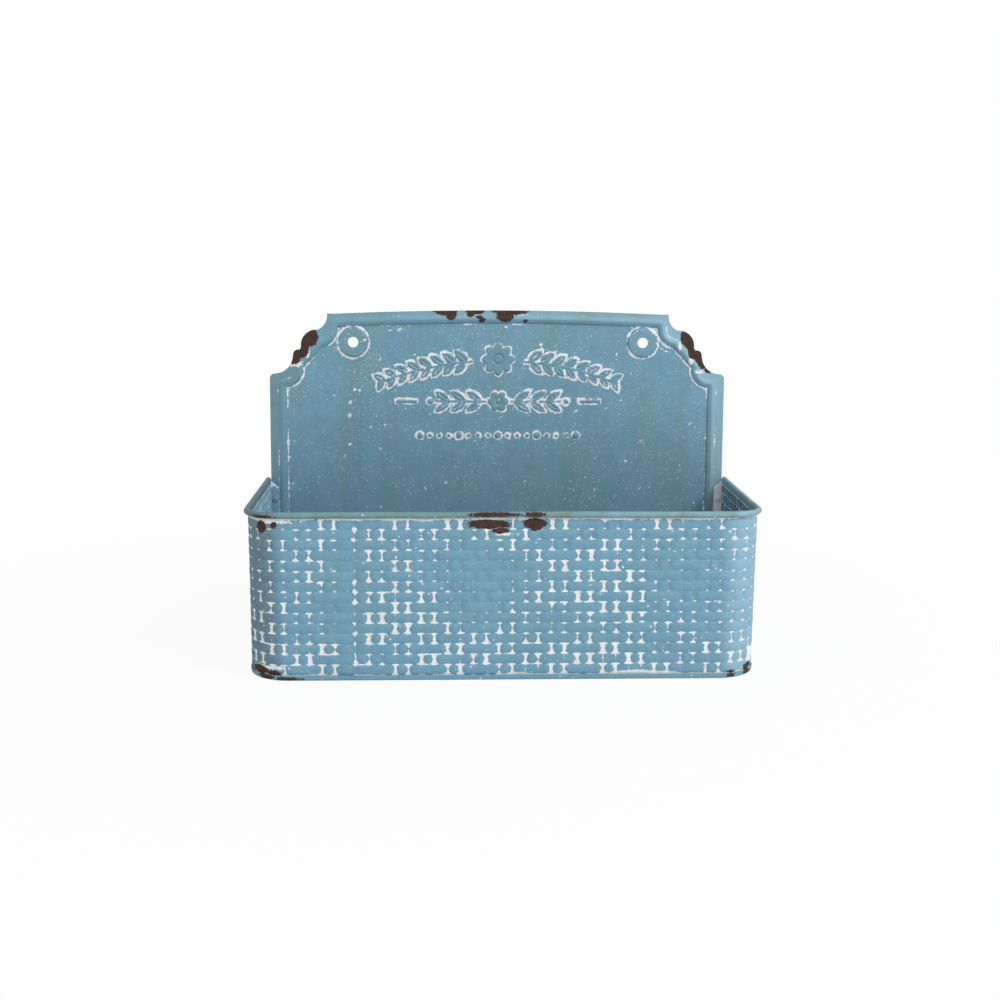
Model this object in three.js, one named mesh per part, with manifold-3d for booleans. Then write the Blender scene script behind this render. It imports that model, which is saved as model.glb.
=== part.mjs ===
// Wall planter in pressed sheet tin: a basket-weave trough hung on an embossed back plate.
// Millimetres, +Z up, the weave front faces -Y, the wall is at +Y, the base stands on Z = 0.
import * as THREE from 'three';
import { mergeVertices } from 'three/addons/utils/BufferGeometryUtils.js';
import Module from 'manifold-3d';

const wasm = await Module();
wasm.setup();

// ---- sheet and body ----
const sheetT = 0.9; // thickness of the tin
const fitGap = 0.3; // clearance between pieces that sit inside each other
const bodyWidth = 378; // outside of the trough walls, without the weave relief
const bodyDepth = 153; // from the outside of the front wall to the wall of the house
const rimTop = 127; // top of the rolled rim above the base
const rimCorner = 20; // outside corner radius of the walls at the rim
const footCorner = 30; // outside corner radius of the walls at the base

// ---- rolled rim ----
const wireDiameter = 2.2;
const curlDiameter = wireDiameter + 2 * fitGap + 2 * sheetT;
const curlSweep = 285; // degrees that the sheet turns round the wire

// ---- basket weave pressed into the walls ----
const weaveRows = 15;
const weaveBottom = 4.2; // top of the plain band that the base pan covers
const weaveTopMargin = 3.2; // plain strip between the weave and the centre of the rim
const stakePitch = 19.75; // distance between neighbouring stakes
const stakeWidth = 5.8;
const weaveGap = 3.7; // sunk strip beside each stake
const reliefHeight = 1.0;
const endSlope = 0.9; // width of the slope at the ends of a strand
const edgeSlope = 1.25; // width of the slope along a strand
const weaveMargin = 2.5; // plain strip at the rear edges of the walls

// ---- rear flanges and their rivets ----
const flangeWidth = 6.4;
const flangeDrop = 6.2; // fall of the chamfered flange top towards the middle
const rivetShank = 2.6;
const rivetHead = 4.8;
const rivetHeadHeight = 1.1;
const rivetTail = 4.2;
const rivetTailHeight = 0.8;
const rivetFit = 0.4; // hole diameter over shank diameter
const rivetHeights = [22, 65, 108];

// ---- base pan ----
const panLip = 3.4; // height of the turned-up edge above the floor of the pan
const panBend = 1.6; // outside radius of the bend under the lip

// ---- back plate ----
const plateInset = 1; // the plate's side edges lie this far inside the faces of the walls
const plateTop = 262; // height of the top edge at its ends
const plateBow = 3.3; // rise of the top edge at the middle
const cornerSize = 50; // reach of the notched corners
const emboss = 1.2; // depth of the sunk field behind the border
const stepSlope = 1.3; // width of the slope round the field
const beadWidth = 6;
const beadHeight = 0.8;
const borderTop = 9.5; // from the top edge to the field
const borderFoot = 12;
const borderNotch = 6.4; // from the ends of a notched corner to those of the field's corner
const fieldScallop = 14; // radius of the two scallops in each field corner

// ---- hanging holes ----
const hangHole = 8.6;
const padDiameter = 24.6;
const padHeight = 1.1;
const padSlope = 0.8; // width of the slope round a pad
const padMargin = 1.3; // from a pad to the edges of the field

// ---- finish ----
const blueTin = { color: 0x6f9ab8, roughness: 0.6, metalness: 0.25 };
const agedTin = { color: 0x7d7f78, roughness: 0.5, metalness: 0.6 };

const plateHalf = bodyWidth / 2 - plateInset;
const flangeEdge = bodyWidth / 2 - sheetT - flangeWidth;
const fieldHalf = flangeEdge - fitGap - beadWidth; // the bead starts beside the flange
const rimOverhang = curlDiameter - sheetT; // reach of the rolled rim in front of the wall
const wallPlane = (bodyDepth + rimOverhang) / 2; // lies against the wall of the house
const frontPlane = wallPlane - bodyDepth;
const plateFace = wallPlane - emboss - sheetT; // front of the plate's border
const curlRadius = curlDiameter / 2;
const curlHeight = rimTop - curlRadius;
const weaveTop = curlHeight - weaveTopMargin;
const rowHeight = (weaveTop - weaveBottom) / weaveRows;
const flangeTop = curlHeight - sheetT;

// ---- meshes ----

// Collects triangles over shared points, then gives them as one geometry.
class Skin {
  constructor() {
    this.points = [];
    this.faces = [];
  }
  add(p) {
    this.points.push(p.x, p.y, p.z);
    return this.points.length / 3 - 1;
  }
  loop(points) {
    return points.map((p) => this.add(p));
  }
  tri(a, b, c) {
    this.faces.push(a, b, c);
  }
  quad(a, b, c, d) {
    this.faces.push(a, b, c, a, c, d);
  }
  // Joins two closed loops of equal length.
  band(lower, upper) {
    lower.forEach((a, i) => {
      const j = (i + 1) % lower.length;
      this.quad(a, lower[j], upper[j], upper[i]);
    });
  }
  // Joins two open lines of { at, id } that run the same way.
  strip(lower, upper) {
    let i = 0;
    let j = 0;
    while (i < lower.length - 1 || j < upper.length - 1) {
      const nextLow = i < lower.length - 1 ? lower[i + 1].at : Infinity;
      const nextHigh = j < upper.length - 1 ? upper[j + 1].at : Infinity;
      if (nextLow <= nextHigh) {
        this.tri(lower[i].id, lower[i + 1].id, upper[j].id);
        i += 1;
      } else {
        this.tri(lower[i].id, upper[j + 1].id, upper[j].id);
        j += 1;
      }
    }
  }
  geometry() {
    const g = new THREE.BufferGeometry();
    g.setAttribute('position', new THREE.Float32BufferAttribute(this.points, 3));
    g.setIndex(this.faces);
    return g;
  }
}

function toSolid(geometry) {
  const plain = geometry.clone();
  plain.deleteAttribute('normal');
  plain.deleteAttribute('uv');
  const merged = mergeVertices(plain, 1e-4);
  return new wasm.Manifold(new wasm.Mesh({
    numProp: 3,
    vertProperties: new Float32Array(merged.attributes.position.array),
    triVerts: new Uint32Array(merged.index.array),
  }));
}

function toGeometry(solid) {
  const mesh = solid.getMesh();
  const g = new THREE.BufferGeometry();
  g.setAttribute('position', new THREE.BufferAttribute(new Float32Array(mesh.vertProperties), 3));
  g.setIndex(new THREE.BufferAttribute(new Uint32Array(mesh.triVerts), 1));
  return g;
}

// Triangles that fill an outline of [u, v] points, all turning anticlockwise in u and v.
function fill(outline, holes = []) {
  const flat = (loop) => loop.map(([u, v]) => new THREE.Vector2(u, v));
  const contours = [outline, ...holes].flat();
  return THREE.ShapeUtils.triangulateShape(flat(outline), holes.map(flat)).map(([a, b, c]) => {
    const [[au, av], [bu, bv], [cu, cv]] = [contours[a], contours[b], contours[c]];
    const turn = (bu - au) * (cv - av) - (bv - av) * (cu - au);
    return turn > 0 ? [a, b, c] : [a, c, b];
  });
}

const group = new THREE.Group();

function addPart(name, geometry, finish) {
  const flat = geometry.index ? geometry.toNonIndexed() : geometry;
  flat.computeVertexNormals();
  const mesh = new THREE.Mesh(flat, new THREE.MeshStandardMaterial(finish));
  mesh.name = name;
  group.add(mesh);
}

const radians = (degrees) => (degrees * Math.PI) / 180;

// ---- the path of the walls, seen from above ----

// The walls run along the front, round a corner and back to the plate. A station is the distance
// along them from the middle of the front, negative on the left.
const widestCorner = Math.max(rimCorner, footCorner);
const frontHalf = bodyWidth / 2 - widestCorner;
const cornerRun = 2 * widestCorner - (2 - Math.PI / 2) * (rimCorner + footCorner) / 2;
const sideRun = plateFace - frontPlane - widestCorner;
const wallEnd = frontHalf + cornerRun + sideRun;

// Point and outward direction of a wall whose corners have the given radius.
function onPath(station, radius) {
  const side = Math.sign(station) || 1;
  const along = Math.abs(station);
  const lead = widestCorner - radius;
  const turn = (radius * Math.PI) / 2;
  let x = along;
  let y = frontPlane;
  let angle = 0;
  if (along >= frontHalf + cornerRun) {
    x = bodyWidth / 2;
    y = frontPlane + widestCorner + along - frontHalf - cornerRun;
    angle = Math.PI / 2;
  } else if (along > frontHalf) {
    const run = ((along - frontHalf) / cornerRun) * (2 * lead + turn);
    angle = Math.min(Math.max((run - lead) / radius, 0), Math.PI / 2);
    x = bodyWidth / 2 - radius + radius * Math.sin(angle) + Math.min(run - lead, 0);
    y = frontPlane + radius - radius * Math.cos(angle) + Math.max(run - lead - turn, 0);
  }
  return { x: side * x, y, nx: side * Math.sin(angle), ny: -Math.cos(angle) };
}

const cornerAt = (z) => footCorner + ((rimCorner - footCorner) * z) / curlHeight;

function wallPoint(station, z, out) {
  const p = onPath(station, cornerAt(z));
  return new THREE.Vector3(p.x + p.nx * out, p.y + p.ny * out, z);
}

const cornerSteps = 7;
const cornerStations = [];
for (let i = 0; i <= cornerSteps; i += 1) {
  const s = frontHalf + (cornerRun * i) / cornerSteps;
  cornerStations.push(-s, s);
}
const plainStations = [-wallEnd, ...cornerStations, wallEnd].sort((a, b) => a - b);

// ---- front wrap: the woven walls, their rolled rim and their rear flanges in one sheet ----

// The raised strands of one row, as pairs of stations.
function strandsOf(row) {
  const strands = [];
  const columns = Math.ceil(wallEnd / stakePitch) + 1;
  for (let k = -columns; k <= columns; k += 1) {
    const isStake = (k + row) % 2 === 0;
    const half = isStake ? stakeWidth / 2 : stakePitch - stakeWidth / 2 - weaveGap;
    const from = Math.max(k * stakePitch - half, weaveMargin - wallEnd);
    const to = Math.min(k * stakePitch + half, wallEnd - weaveMargin);
    if (to - from > 3 * endSlope) strands.push([from, to]);
  }
  return strands;
}

function lineOf(skin, stations, z, out) {
  return stations.map((at) => ({ at, id: skin.add(wallPoint(at, z, out)) }));
}

const between = (line, from, to) => line.filter((p) => p.at >= from - 1e-6 && p.at <= to + 1e-6);

function wovenWall() {
  const skin = new Skin();
  const rows = [];
  for (let r = 0; r < weaveRows; r += 1) rows.push(strandsOf(r));
  const stationsOf = (touching) => {
    const all = [...plainStations, ...touching.flat(2)].sort((a, b) => a - b);
    return all.filter((s, i) => i === 0 || s - all[i - 1] > 1e-3);
  };
  const grooves = [];
  for (let r = 0; r <= weaveRows; r += 1) {
    const touching = rows.slice(Math.max(r - 1, 0), r + 1);
    grooves.push(lineOf(skin, stationsOf(touching), weaveTop - r * rowHeight, 0));
  }
  rows.forEach((strands, r) => {
    const [high, low] = [grooves[r], grooves[r + 1]];
    const zHigh = weaveTop - r * rowHeight - edgeSlope;
    const zLow = weaveTop - (r + 1) * rowHeight + edgeSlope;
    let done = -wallEnd;
    strands.forEach(([from, to]) => {
      skin.strip(between(low, done, from), between(high, done, from));
      const inner = plainStations.filter((s) => s > from + endSlope && s < to - endSlope);
      const crown = [from + endSlope, ...inner, to - endSlope];
      const crownHigh = lineOf(skin, crown, zHigh, reliefHeight);
      const crownLow = lineOf(skin, crown, zLow, reliefHeight);
      const lowEdge = between(low, from, to);
      const highEdge = between(high, from, to);
      skin.strip(lowEdge, crownLow);
      skin.strip(crownLow, crownHigh);
      skin.strip(crownHigh, highEdge);
      skin.quad(lowEdge[0].id, crownLow[0].id, crownHigh[0].id, highEdge[0].id);
      skin.quad(lowEdge.at(-1).id, highEdge.at(-1).id, crownHigh.at(-1).id, crownLow.at(-1).id);
      done = to;
    });
    skin.strip(between(low, done, wallEnd), between(high, done, wallEnd));
  });
  const top = lineOf(skin, plainStations, curlHeight, 0);
  const bottom = lineOf(skin, plainStations, sheetT, 0);
  skin.strip(grooves[0], top);
  skin.strip(bottom, grooves[weaveRows]);

  const innerLevels = 4;
  const inner = [];
  for (let i = 0; i <= innerLevels; i += 1) {
    const z = sheetT + ((curlHeight - sheetT) * i) / innerLevels;
    inner.push(lineOf(skin, plainStations, z, -sheetT));
    if (i > 0) skin.strip(inner[i], inner[i - 1]);
  }
  skin.strip(inner[0], bottom);
  const curl = curlSection();
  const curlLines = curl.slice(1, -1).map(({ out, up }) => (
    plainStations.map((at) => ({ at, id: skin.add(rimPoint(at, out, up)) }))
  ));
  const rolled = [top, ...curlLines, inner[innerLevels]];
  for (let i = 1; i < rolled.length; i += 1) skin.strip(rolled[i - 1], rolled[i]);
  const curlOutline = curl.map(({ out, up }) => [out, up]);
  [0, -1].forEach((end) => {
    const outerEdge = [top, ...grooves, bottom].reverse().map((line, i) => {
      const id = line.at(end).id;
      return { at: skin.points[3 * id + 2], id };
    });
    const innerEdge = inner.map((line) => {
      const id = line.at(end).id;
      return { at: skin.points[3 * id + 2], id };
    });
    if (end === 0) skin.strip(outerEdge, innerEdge);
    else skin.strip(innerEdge, outerEdge);
    const curlEnd = rolled.map((line) => line.at(end).id);
    fill(curlOutline).forEach(([a, b, c]) => {
      if (end === 0) skin.tri(curlEnd[a], curlEnd[b], curlEnd[c]);
      else skin.tri(curlEnd[a], curlEnd[c], curlEnd[b]);
    });
  });
  return skin.geometry();
}

// A point beside the rim: outwards from the face of the wall, and up from the rim's centre.
function rimPoint(station, out, up) {
  const p = onPath(station, rimCorner);
  return new THREE.Vector3(p.x + p.nx * out, p.y + p.ny * out, curlHeight + up);
}

const curlCentre = curlRadius - sheetT; // outward distance of the wire from the face of the wall

// The rolled edge, from the outer face of the wall round the wire and back to its inner face.
function curlSection() {
  const steps = 12;
  const turn = (radius) => Array.from({ length: steps + 1 }, (_, i) => {
    const a = radians(180 - (curlSweep * i) / steps);
    return { out: curlCentre + radius * Math.cos(a), up: radius * Math.sin(a) };
  });
  return [...turn(curlRadius - sheetT), ...turn(curlRadius).reverse()];
}

function rimWire() {
  const sides = 10;
  const outline = Array.from({ length: sides }, (_, i) => {
    const a = (2 * Math.PI * i) / sides;
    const r = wireDiameter / 2;
    return [curlCentre + r * Math.cos(a), r * Math.sin(a)];
  });
  const skin = new Skin();
  const loops = plainStations.map((station) => (
    skin.loop(outline.map(([out, up]) => rimPoint(station, out, up)))
  ));
  for (let i = 1; i < loops.length; i += 1) skin.band(loops[i], loops[i - 1]);
  fill(outline).forEach(([a, b, c]) => {
    skin.tri(loops[0][a], loops[0][b], loops[0][c]);
    skin.tri(loops.at(-1)[a], loops.at(-1)[c], loops.at(-1)[b]);
  });
  return skin.geometry();
}

// Extrudes a shape drawn in x and z along y, from yNear to yFar.
function slab(outline, yNear, yFar) {
  const shape = new THREE.Shape(outline.map(([x, z]) => new THREE.Vector2(x, z)));
  const depth = yFar - yNear;
  const g = new THREE.ExtrudeGeometry(shape, { depth, bevelEnabled: false });
  g.rotateX(Math.PI / 2);
  g.translate(0, yFar, 0);
  return g;
}

function flange(side) {
  const outer = side * (bodyWidth / 2 - sheetT / 2);
  const edge = side * flangeEdge;
  const outline = [
    [outer, sheetT],
    [outer, flangeTop],
    [edge, flangeTop - flangeDrop],
    [edge, sheetT],
  ];
  return slab(outline, plateFace - sheetT, plateFace);
}

const rivetX = flangeEdge + flangeWidth / 2;

function rivetHole(side, z) {
  const g = new THREE.CylinderGeometry(
    (rivetShank + rivetFit) / 2, (rivetShank + rivetFit) / 2, 6 * sheetT, 12,
  );
  g.translate(side * rivetX, plateFace, z);
  return g;
}

const rivetPlaces = [-1, 1].flatMap((side) => rivetHeights.map((z) => ({ side, z })));

function frontWrap() {
  let solid = toSolid(wovenWall()).add(toSolid(flange(-1))).add(toSolid(flange(1)));
  rivetPlaces.forEach(({ side, z }) => {
    solid = solid.subtract(toSolid(rivetHole(side, z)));
  });
  return toGeometry(solid);
}

// A rivet along y: round head in the trough, shank, and flat tail behind the plate.
function rivet(side, z) {
  const near = -sheetT;
  const far = sheetT;
  const profile = [[0, near - rivetHeadHeight]];
  const domeSteps = 3;
  for (let i = 1; i <= domeSteps; i += 1) {
    const a = (Math.PI / 2) * (i / domeSteps);
    profile.push([(rivetHead / 2) * Math.sin(a), near - rivetHeadHeight * Math.cos(a)]);
  }
  profile.push(
    [rivetShank / 2, near],
    [rivetShank / 2, far],
    [rivetTail / 2, far],
    [rivetTail / 2, far + rivetTailHeight],
    [0, far + rivetTailHeight],
  );
  const g = new THREE.LatheGeometry(profile.map(([r, y]) => new THREE.Vector2(r, y)), 12);
  g.translate(side * rivetX, plateFace, z);
  return g;
}

// ---- base pan: a shallow tray pressed over the foot of the body, as its floor and its lip ----

function footLoop(inset) {
  const radius = footCorner + sheetT + fitGap - inset;
  const half = bodyWidth / 2 + sheetT + fitGap - inset;
  const front = frontPlane - sheetT - fitGap + inset;
  const back = wallPlane - inset;
  const steps = 9;
  const loop = [];
  for (let i = 0; i <= steps; i += 1) {
    const a = (Math.PI / 2) * (i / steps);
    const x = half - radius + radius * Math.sin(a);
    loop.push([x, front + radius - radius * Math.cos(a)]);
  }
  loop.push([half, back]);
  const mirrored = loop.map(([x, y]) => [-x, y]).reverse();
  return [...loop, ...mirrored];
}

function footRing(skin, inset, z) {
  return skin.loop(footLoop(inset).map(([x, y]) => new THREE.Vector3(x, y, z)));
}

// The flat of the pan, as far as the bend.
function panFloor() {
  const skin = new Skin();
  const under = footRing(skin, panBend, 0);
  const upper = footRing(skin, panBend, sheetT);
  skin.band(under, upper);
  fill(footLoop(panBend)).forEach(([a, b, c]) => {
    skin.tri(under[a], under[c], under[b]);
    skin.tri(upper[a], upper[b], upper[c]);
  });
  return skin.geometry();
}

// The bend round the flat, and the lip that stands up from it.
function panEdge() {
  const skin = new Skin();
  const bendSteps = 3;
  const lipTop = sheetT + panLip;
  const rings = [];
  for (let i = 0; i <= bendSteps; i += 1) {
    const a = (Math.PI / 2) * (i / bendSteps);
    rings.push(footRing(skin, panBend * (1 - Math.sin(a)), panBend * (1 - Math.cos(a))));
  }
  rings.push(
    footRing(skin, 0, lipTop),
    footRing(skin, sheetT, lipTop),
    footRing(skin, sheetT, sheetT),
    footRing(skin, panBend, sheetT),
  );
  rings.forEach((ring, i) => skin.band(ring, rings[(i + 1) % rings.length]));
  return skin.geometry();
}

// ---- back plate: one pressed sheet with a raised border round a sunk field ----

// Points on an arc in x and z, with angles in degrees.
function arc(x, z, radius, from, to, steps) {
  return Array.from({ length: steps + 1 }, (_, i) => {
    const a = radians(from + ((to - from) * i) / steps);
    return [x + radius * Math.cos(a), z + radius * Math.sin(a)];
  });
}

// A gently bowed edge from the middle to the end, without its end point.
function bowedEdge(half, z, bow, steps) {
  return Array.from({ length: steps }, (_, i) => {
    const x = (half * i) / steps;
    return [x, z + bow * (1 - (x / half) ** 2)];
  });
}

// The right half from the middle of the top, clockwise, made whole by its mirror image.
function mirrored(half) {
  const left = half.slice(1).map(([x, z]) => [-x, z]).reverse();
  return [...half, ...left];
}

// The arcs of a notched corner: how far in from the side edge, how far down from the top edge and
// the radius, as shares of the corner's size, then the angles and the number of steps.
const cornerArcShares = [
  [0.686, 0.016, 0.264, 175, 247, 5],
  [0.77, 0.512, 0.256, 92, -8, 7],
  [0.468, 0.668, 0.084, 105, 20, 4],
  [0.08, 0.68, 0.3, 188, 270, 6],
  [0.084, 1.064, 0.084, 90, 0, 4],
];
const topEnd = plateHalf - 0.97 * cornerSize; // half length of the top edge
const shoulder = plateTop - 1.06 * cornerSize; // top of the straight sides
const fieldTop = plateTop - borderTop;
const fieldTopEnd = topEnd - borderNotch;

function plateOutline() {
  return mirrored([
    ...bowedEdge(topEnd, plateTop, plateBow, 6),
    ...cornerArcShares.flatMap(([inward, down, radius, from, to, steps]) => arc(
      plateHalf - inward * cornerSize, plateTop - down * cornerSize, radius * cornerSize,
      from, to, steps,
    )),
    [plateHalf, sheetT],
  ]);
}

function fieldOutline() {
  const r = fieldScallop;
  return mirrored([
    ...bowedEdge(fieldTopEnd, fieldTop, plateBow, 6),
    [fieldTopEnd, fieldTop],
    ...arc(fieldTopEnd + r, fieldTop - 0.18 * r, r, 180, 262, 5),
    ...arc(fieldHalf, shoulder - borderNotch + r, r, 172, 270, 6),
    [fieldHalf, sheetT + borderFoot],
  ]);
}

// Moves each point of a clockwise loop outwards, square to the sides that meet there.
function offset(loop, distance) {
  const n = loop.length;
  return loop.map(([x, z], i) => {
    const [ax, az] = loop[(i + n - 1) % n];
    const [bx, bz] = loop[(i + 1) % n];
    const before = new THREE.Vector2(az - z, x - ax).normalize();
    const after = new THREE.Vector2(z - bz, bx - x).normalize();
    const normal = before.clone().add(after).normalize();
    const stretch = Math.min(1 / Math.max(normal.dot(after), 0.2), 1.6);
    return [x + normal.x * distance * stretch, z + normal.y * distance * stretch];
  });
}

function circle(x, z, diameter, sides) {
  return arc(x, z, diameter / 2, 360, 360 / sides, sides - 1);
}

function backPlate() {
  const skin = new Skin();
  const outline = plateOutline();
  const step = fieldOutline();
  const padSides = 24;
  const hangX = fieldTopEnd - padMargin - padDiameter / 2;
  const hangHeight = fieldTop - padMargin - padDiameter / 2;
  const flatTop = padDiameter - 2 * padSlope;
  const border = plateFace;
  const field = wallPlane - sheetT;
  const faces = [0, sheetT].map((back) => {
    const ring = (points, y) => skin.loop(points.map(([x, z]) => new THREE.Vector3(x, y + back, z)));
    return {
      rings: [
        ring(outline, border),
        ring(offset(step, beadWidth), border),
        ring(offset(step, beadWidth * 0.75), border - beadHeight * 0.75),
        ring(offset(step, beadWidth * 0.5), border - beadHeight),
        ring(offset(step, beadWidth * 0.25), border - beadHeight * 0.75),
        ring(step, border),
        ring(offset(step, -stepSlope), field),
      ],
      pads: [-hangX, hangX].map((x) => [
        ring(circle(x, hangHeight, padDiameter, padSides), field),
        ring(circle(x, hangHeight, flatTop, padSides), field - padHeight),
        ring(circle(x, hangHeight, hangHole, padSides), field - padHeight),
      ]),
    };
  });
  const rim = fill(outline, [offset(step, beadWidth)]);
  const padLoops = [-hangX, hangX].map((x) => circle(x, hangHeight, padDiameter, padSides));
  const ground = fill(offset(step, -stepSlope), padLoops);
  faces.forEach(({ rings, pads }, back) => {
    const tri = (a, b, c) => (back ? skin.tri(a, c, b) : skin.tri(a, b, c));
    const band = (outer, inner) => (back ? skin.band(outer, inner) : skin.band(inner, outer));
    const borderIds = [...rings[0], ...rings[1]];
    rim.forEach(([a, b, c]) => tri(borderIds[a], borderIds[b], borderIds[c]));
    for (let i = 2; i < rings.length; i += 1) band(rings[i - 1], rings[i]);
    const groundIds = [...rings.at(-1), ...pads[0][0], ...pads[1][0]];
    ground.forEach(([a, b, c]) => tri(groundIds[a], groundIds[b], groundIds[c]));
    pads.forEach((pad) => {
      band(pad[0], pad[1]);
      band(pad[1], pad[2]);
    });
  });
  skin.band(faces[0].rings[0], faces[1].rings[0]);
  faces[0].pads.forEach((pad, i) => skin.band(faces[1].pads[i][2], pad[2]));
  let solid = toSolid(skin.geometry());
  rivetPlaces.forEach(({ side, z }) => {
    solid = solid.subtract(toSolid(rivetHole(side, z)));
  });
  return toGeometry(solid);
}

addPart('back_plate', backPlate(), blueTin);
addPart('front_wrap', frontWrap(), blueTin);
addPart('rim_wire', rimWire(), agedTin);
addPart('base_floor', panFloor(), blueTin);
addPart('base_lip', panEdge(), blueTin);
rivetPlaces.forEach(({ side, z }, i) => {
  const number = (i % rivetHeights.length) + 1;
  addPart(`${side < 0 ? 'left' : 'right'}_rivet_${number}`, rivet(side, z), agedTin);
});

export default group;
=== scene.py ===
"""Wall planter in pressed sheet tin, with its weathered blue paint. Lengths are in metres."""

import math

import bmesh
import bpy
import numpy as np
from bpy.props import FloatProperty, FloatVectorProperty, IntProperty, PointerProperty
from mathutils import Matrix, Vector


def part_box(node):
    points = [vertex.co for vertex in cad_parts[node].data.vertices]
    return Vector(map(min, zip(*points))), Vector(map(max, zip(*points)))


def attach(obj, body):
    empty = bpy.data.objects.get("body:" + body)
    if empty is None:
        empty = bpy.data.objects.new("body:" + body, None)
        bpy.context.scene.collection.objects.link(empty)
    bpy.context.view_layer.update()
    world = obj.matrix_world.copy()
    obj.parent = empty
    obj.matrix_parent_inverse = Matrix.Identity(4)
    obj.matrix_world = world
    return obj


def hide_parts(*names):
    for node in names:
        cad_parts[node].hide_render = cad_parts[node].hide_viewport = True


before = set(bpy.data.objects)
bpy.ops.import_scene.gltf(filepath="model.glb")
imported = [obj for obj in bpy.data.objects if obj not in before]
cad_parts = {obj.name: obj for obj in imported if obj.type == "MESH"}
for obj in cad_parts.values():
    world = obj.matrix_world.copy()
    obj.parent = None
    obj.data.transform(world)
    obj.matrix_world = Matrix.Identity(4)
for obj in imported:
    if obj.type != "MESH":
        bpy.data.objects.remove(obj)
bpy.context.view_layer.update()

bl_info = {
    "name": "Tin wall planter",
    "version": (1, 0, 0),
    "blender": (4, 5, 0),
    "location": "3D View > Sidebar > Planter",
    "description": "Builds a pressed tin wall planter with weathered paint",
    "category": "Add Mesh",
}

MM = 0.001
CLOSE = 0.01 * MM  # points nearer than this are one
BODY = "root"

wrap_low, wrap_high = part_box("front_wrap")
plate_low, plate_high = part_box("back_plate")
lip_low, lip_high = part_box("base_lip")


def tone(red, green, blue):
    """A colour given as 0 to 255 on screen, as Blender's linear values."""
    def linear(value):
        share = value / 255
        return share / 12.92 if share <= 0.04045 else ((share + 0.055) / 1.055) ** 2.4
    return (linear(red), linear(green), linear(blue))


# ---- sizes and colours ----

def length(name, description, default):
    return FloatProperty(name=name, description=description, default=default, unit="LENGTH")


def colour(name, description, default):
    return FloatVectorProperty(
        name=name, description=description, default=default, subtype="COLOR", min=0, max=1
    )


class WallSizes(bpy.types.PropertyGroup):
    sheet: length("Sheet", "Thickness of the tin", 0.9 * MM)
    fit_gap: length("Fit", "Clearance between pieces that sit in each other", 0.3 * MM)
    rim_corner: length("Rim corner", "Corner radius of the walls at the rim", 20 * MM)
    foot_corner: length("Foot corner", "Corner radius of the walls at the foot", 30 * MM)
    curl_radius: length("Curl", "Outside radius of the rolled rim", 2.3 * MM)
    flange: length("Flange", "Width of the rear flanges", 6.4 * MM)
    flange_drop: length("Flange drop", "Fall of a flange's top edge", 6.2 * MM)
    pan_bend: length("Pan bend", "Outside radius under the pan's lip", 1.6 * MM)
    rivet_head: length("Rivet head", "Diameter of a rivet's head", 4.8 * MM)


class WeaveSizes(bpy.types.PropertyGroup):
    rows: IntProperty(name="Rows", description="Rows of weave", default=15)
    bottom: length("Bottom", "Height of the lowest strand's foot", 4.2 * MM)
    top_margin: length("Top margin", "From the weave to the rim's centre", 3.2 * MM)
    pitch: length("Pitch", "Distance between stakes", 19.2 * MM)
    start: length("Start", "Place of the stake nearest the middle", 1.0 * MM)
    left_pitch: length("Left pitch", "Distance between stakes left of the seam", 18.6 * MM)
    left_start: length("Left start", "Place of the first stake left of the seam", -129.6 * MM)
    seam: length("Seam", "Place of the sunk line where the dies met", -110.2 * MM)
    seam_width: length("Seam width", "Width of that line", 3.6 * MM)
    seam_column: IntProperty(name="Seam column", description="Stakes up to the seam", default=5)
    stake: length("Stake", "Width of a stake", 5.8 * MM)
    gap: length("Gap", "Sunk strip beside a stake", 3.7 * MM)
    relief: length("Relief", "Height of a strand above the grooves", 0.55 * MM)
    end_slope: length("End slope", "Width of a strand's sloped ends", 0.9 * MM)
    edge_slope: length("Edge slope", "Width of the slope along a strand", 1.25 * MM)


class PlateSizes(bpy.types.PropertyGroup):
    top: length("Top", "Height of the ends of the top edge", 262 * MM)
    corner: length("Corner", "Reach of the notched corners", 50 * MM)
    emboss: length("Emboss", "Depth of the field behind the border", 1.2 * MM)
    step: length("Step", "Width of the slope round the field", 1.3 * MM)
    bead: length("Bead", "Width of the bead round the field", 6 * MM)
    bead_height: length("Bead height", "Rise of the bead", 0.8 * MM)
    border_top: length("Top border", "From the top edge to the field", 9.5 * MM)
    border_foot: length("Foot border", "From the foot to the field", 12 * MM)
    notch: length("Notch", "From a corner's ends to the field's corner", 6.4 * MM)
    scallop: length("Scallop", "Radius of the field's corner scallops", 14 * MM)
    hole: length("Hole", "Diameter of a hanging hole", 8.6 * MM)
    pad: length("Pad", "Diameter of the pad round a hole", 24.6 * MM)
    pad_height: length("Pad height", "Rise of a pad", 1.1 * MM)
    pad_slope: length("Pad slope", "Width of the slope round a pad", 0.8 * MM)
    pad_margin: length("Pad margin", "From a pad to the field's edges", 1.3 * MM)
    ornament: length("Ornament", "Rise of the pressed ornament", 0.95 * MM)


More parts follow.
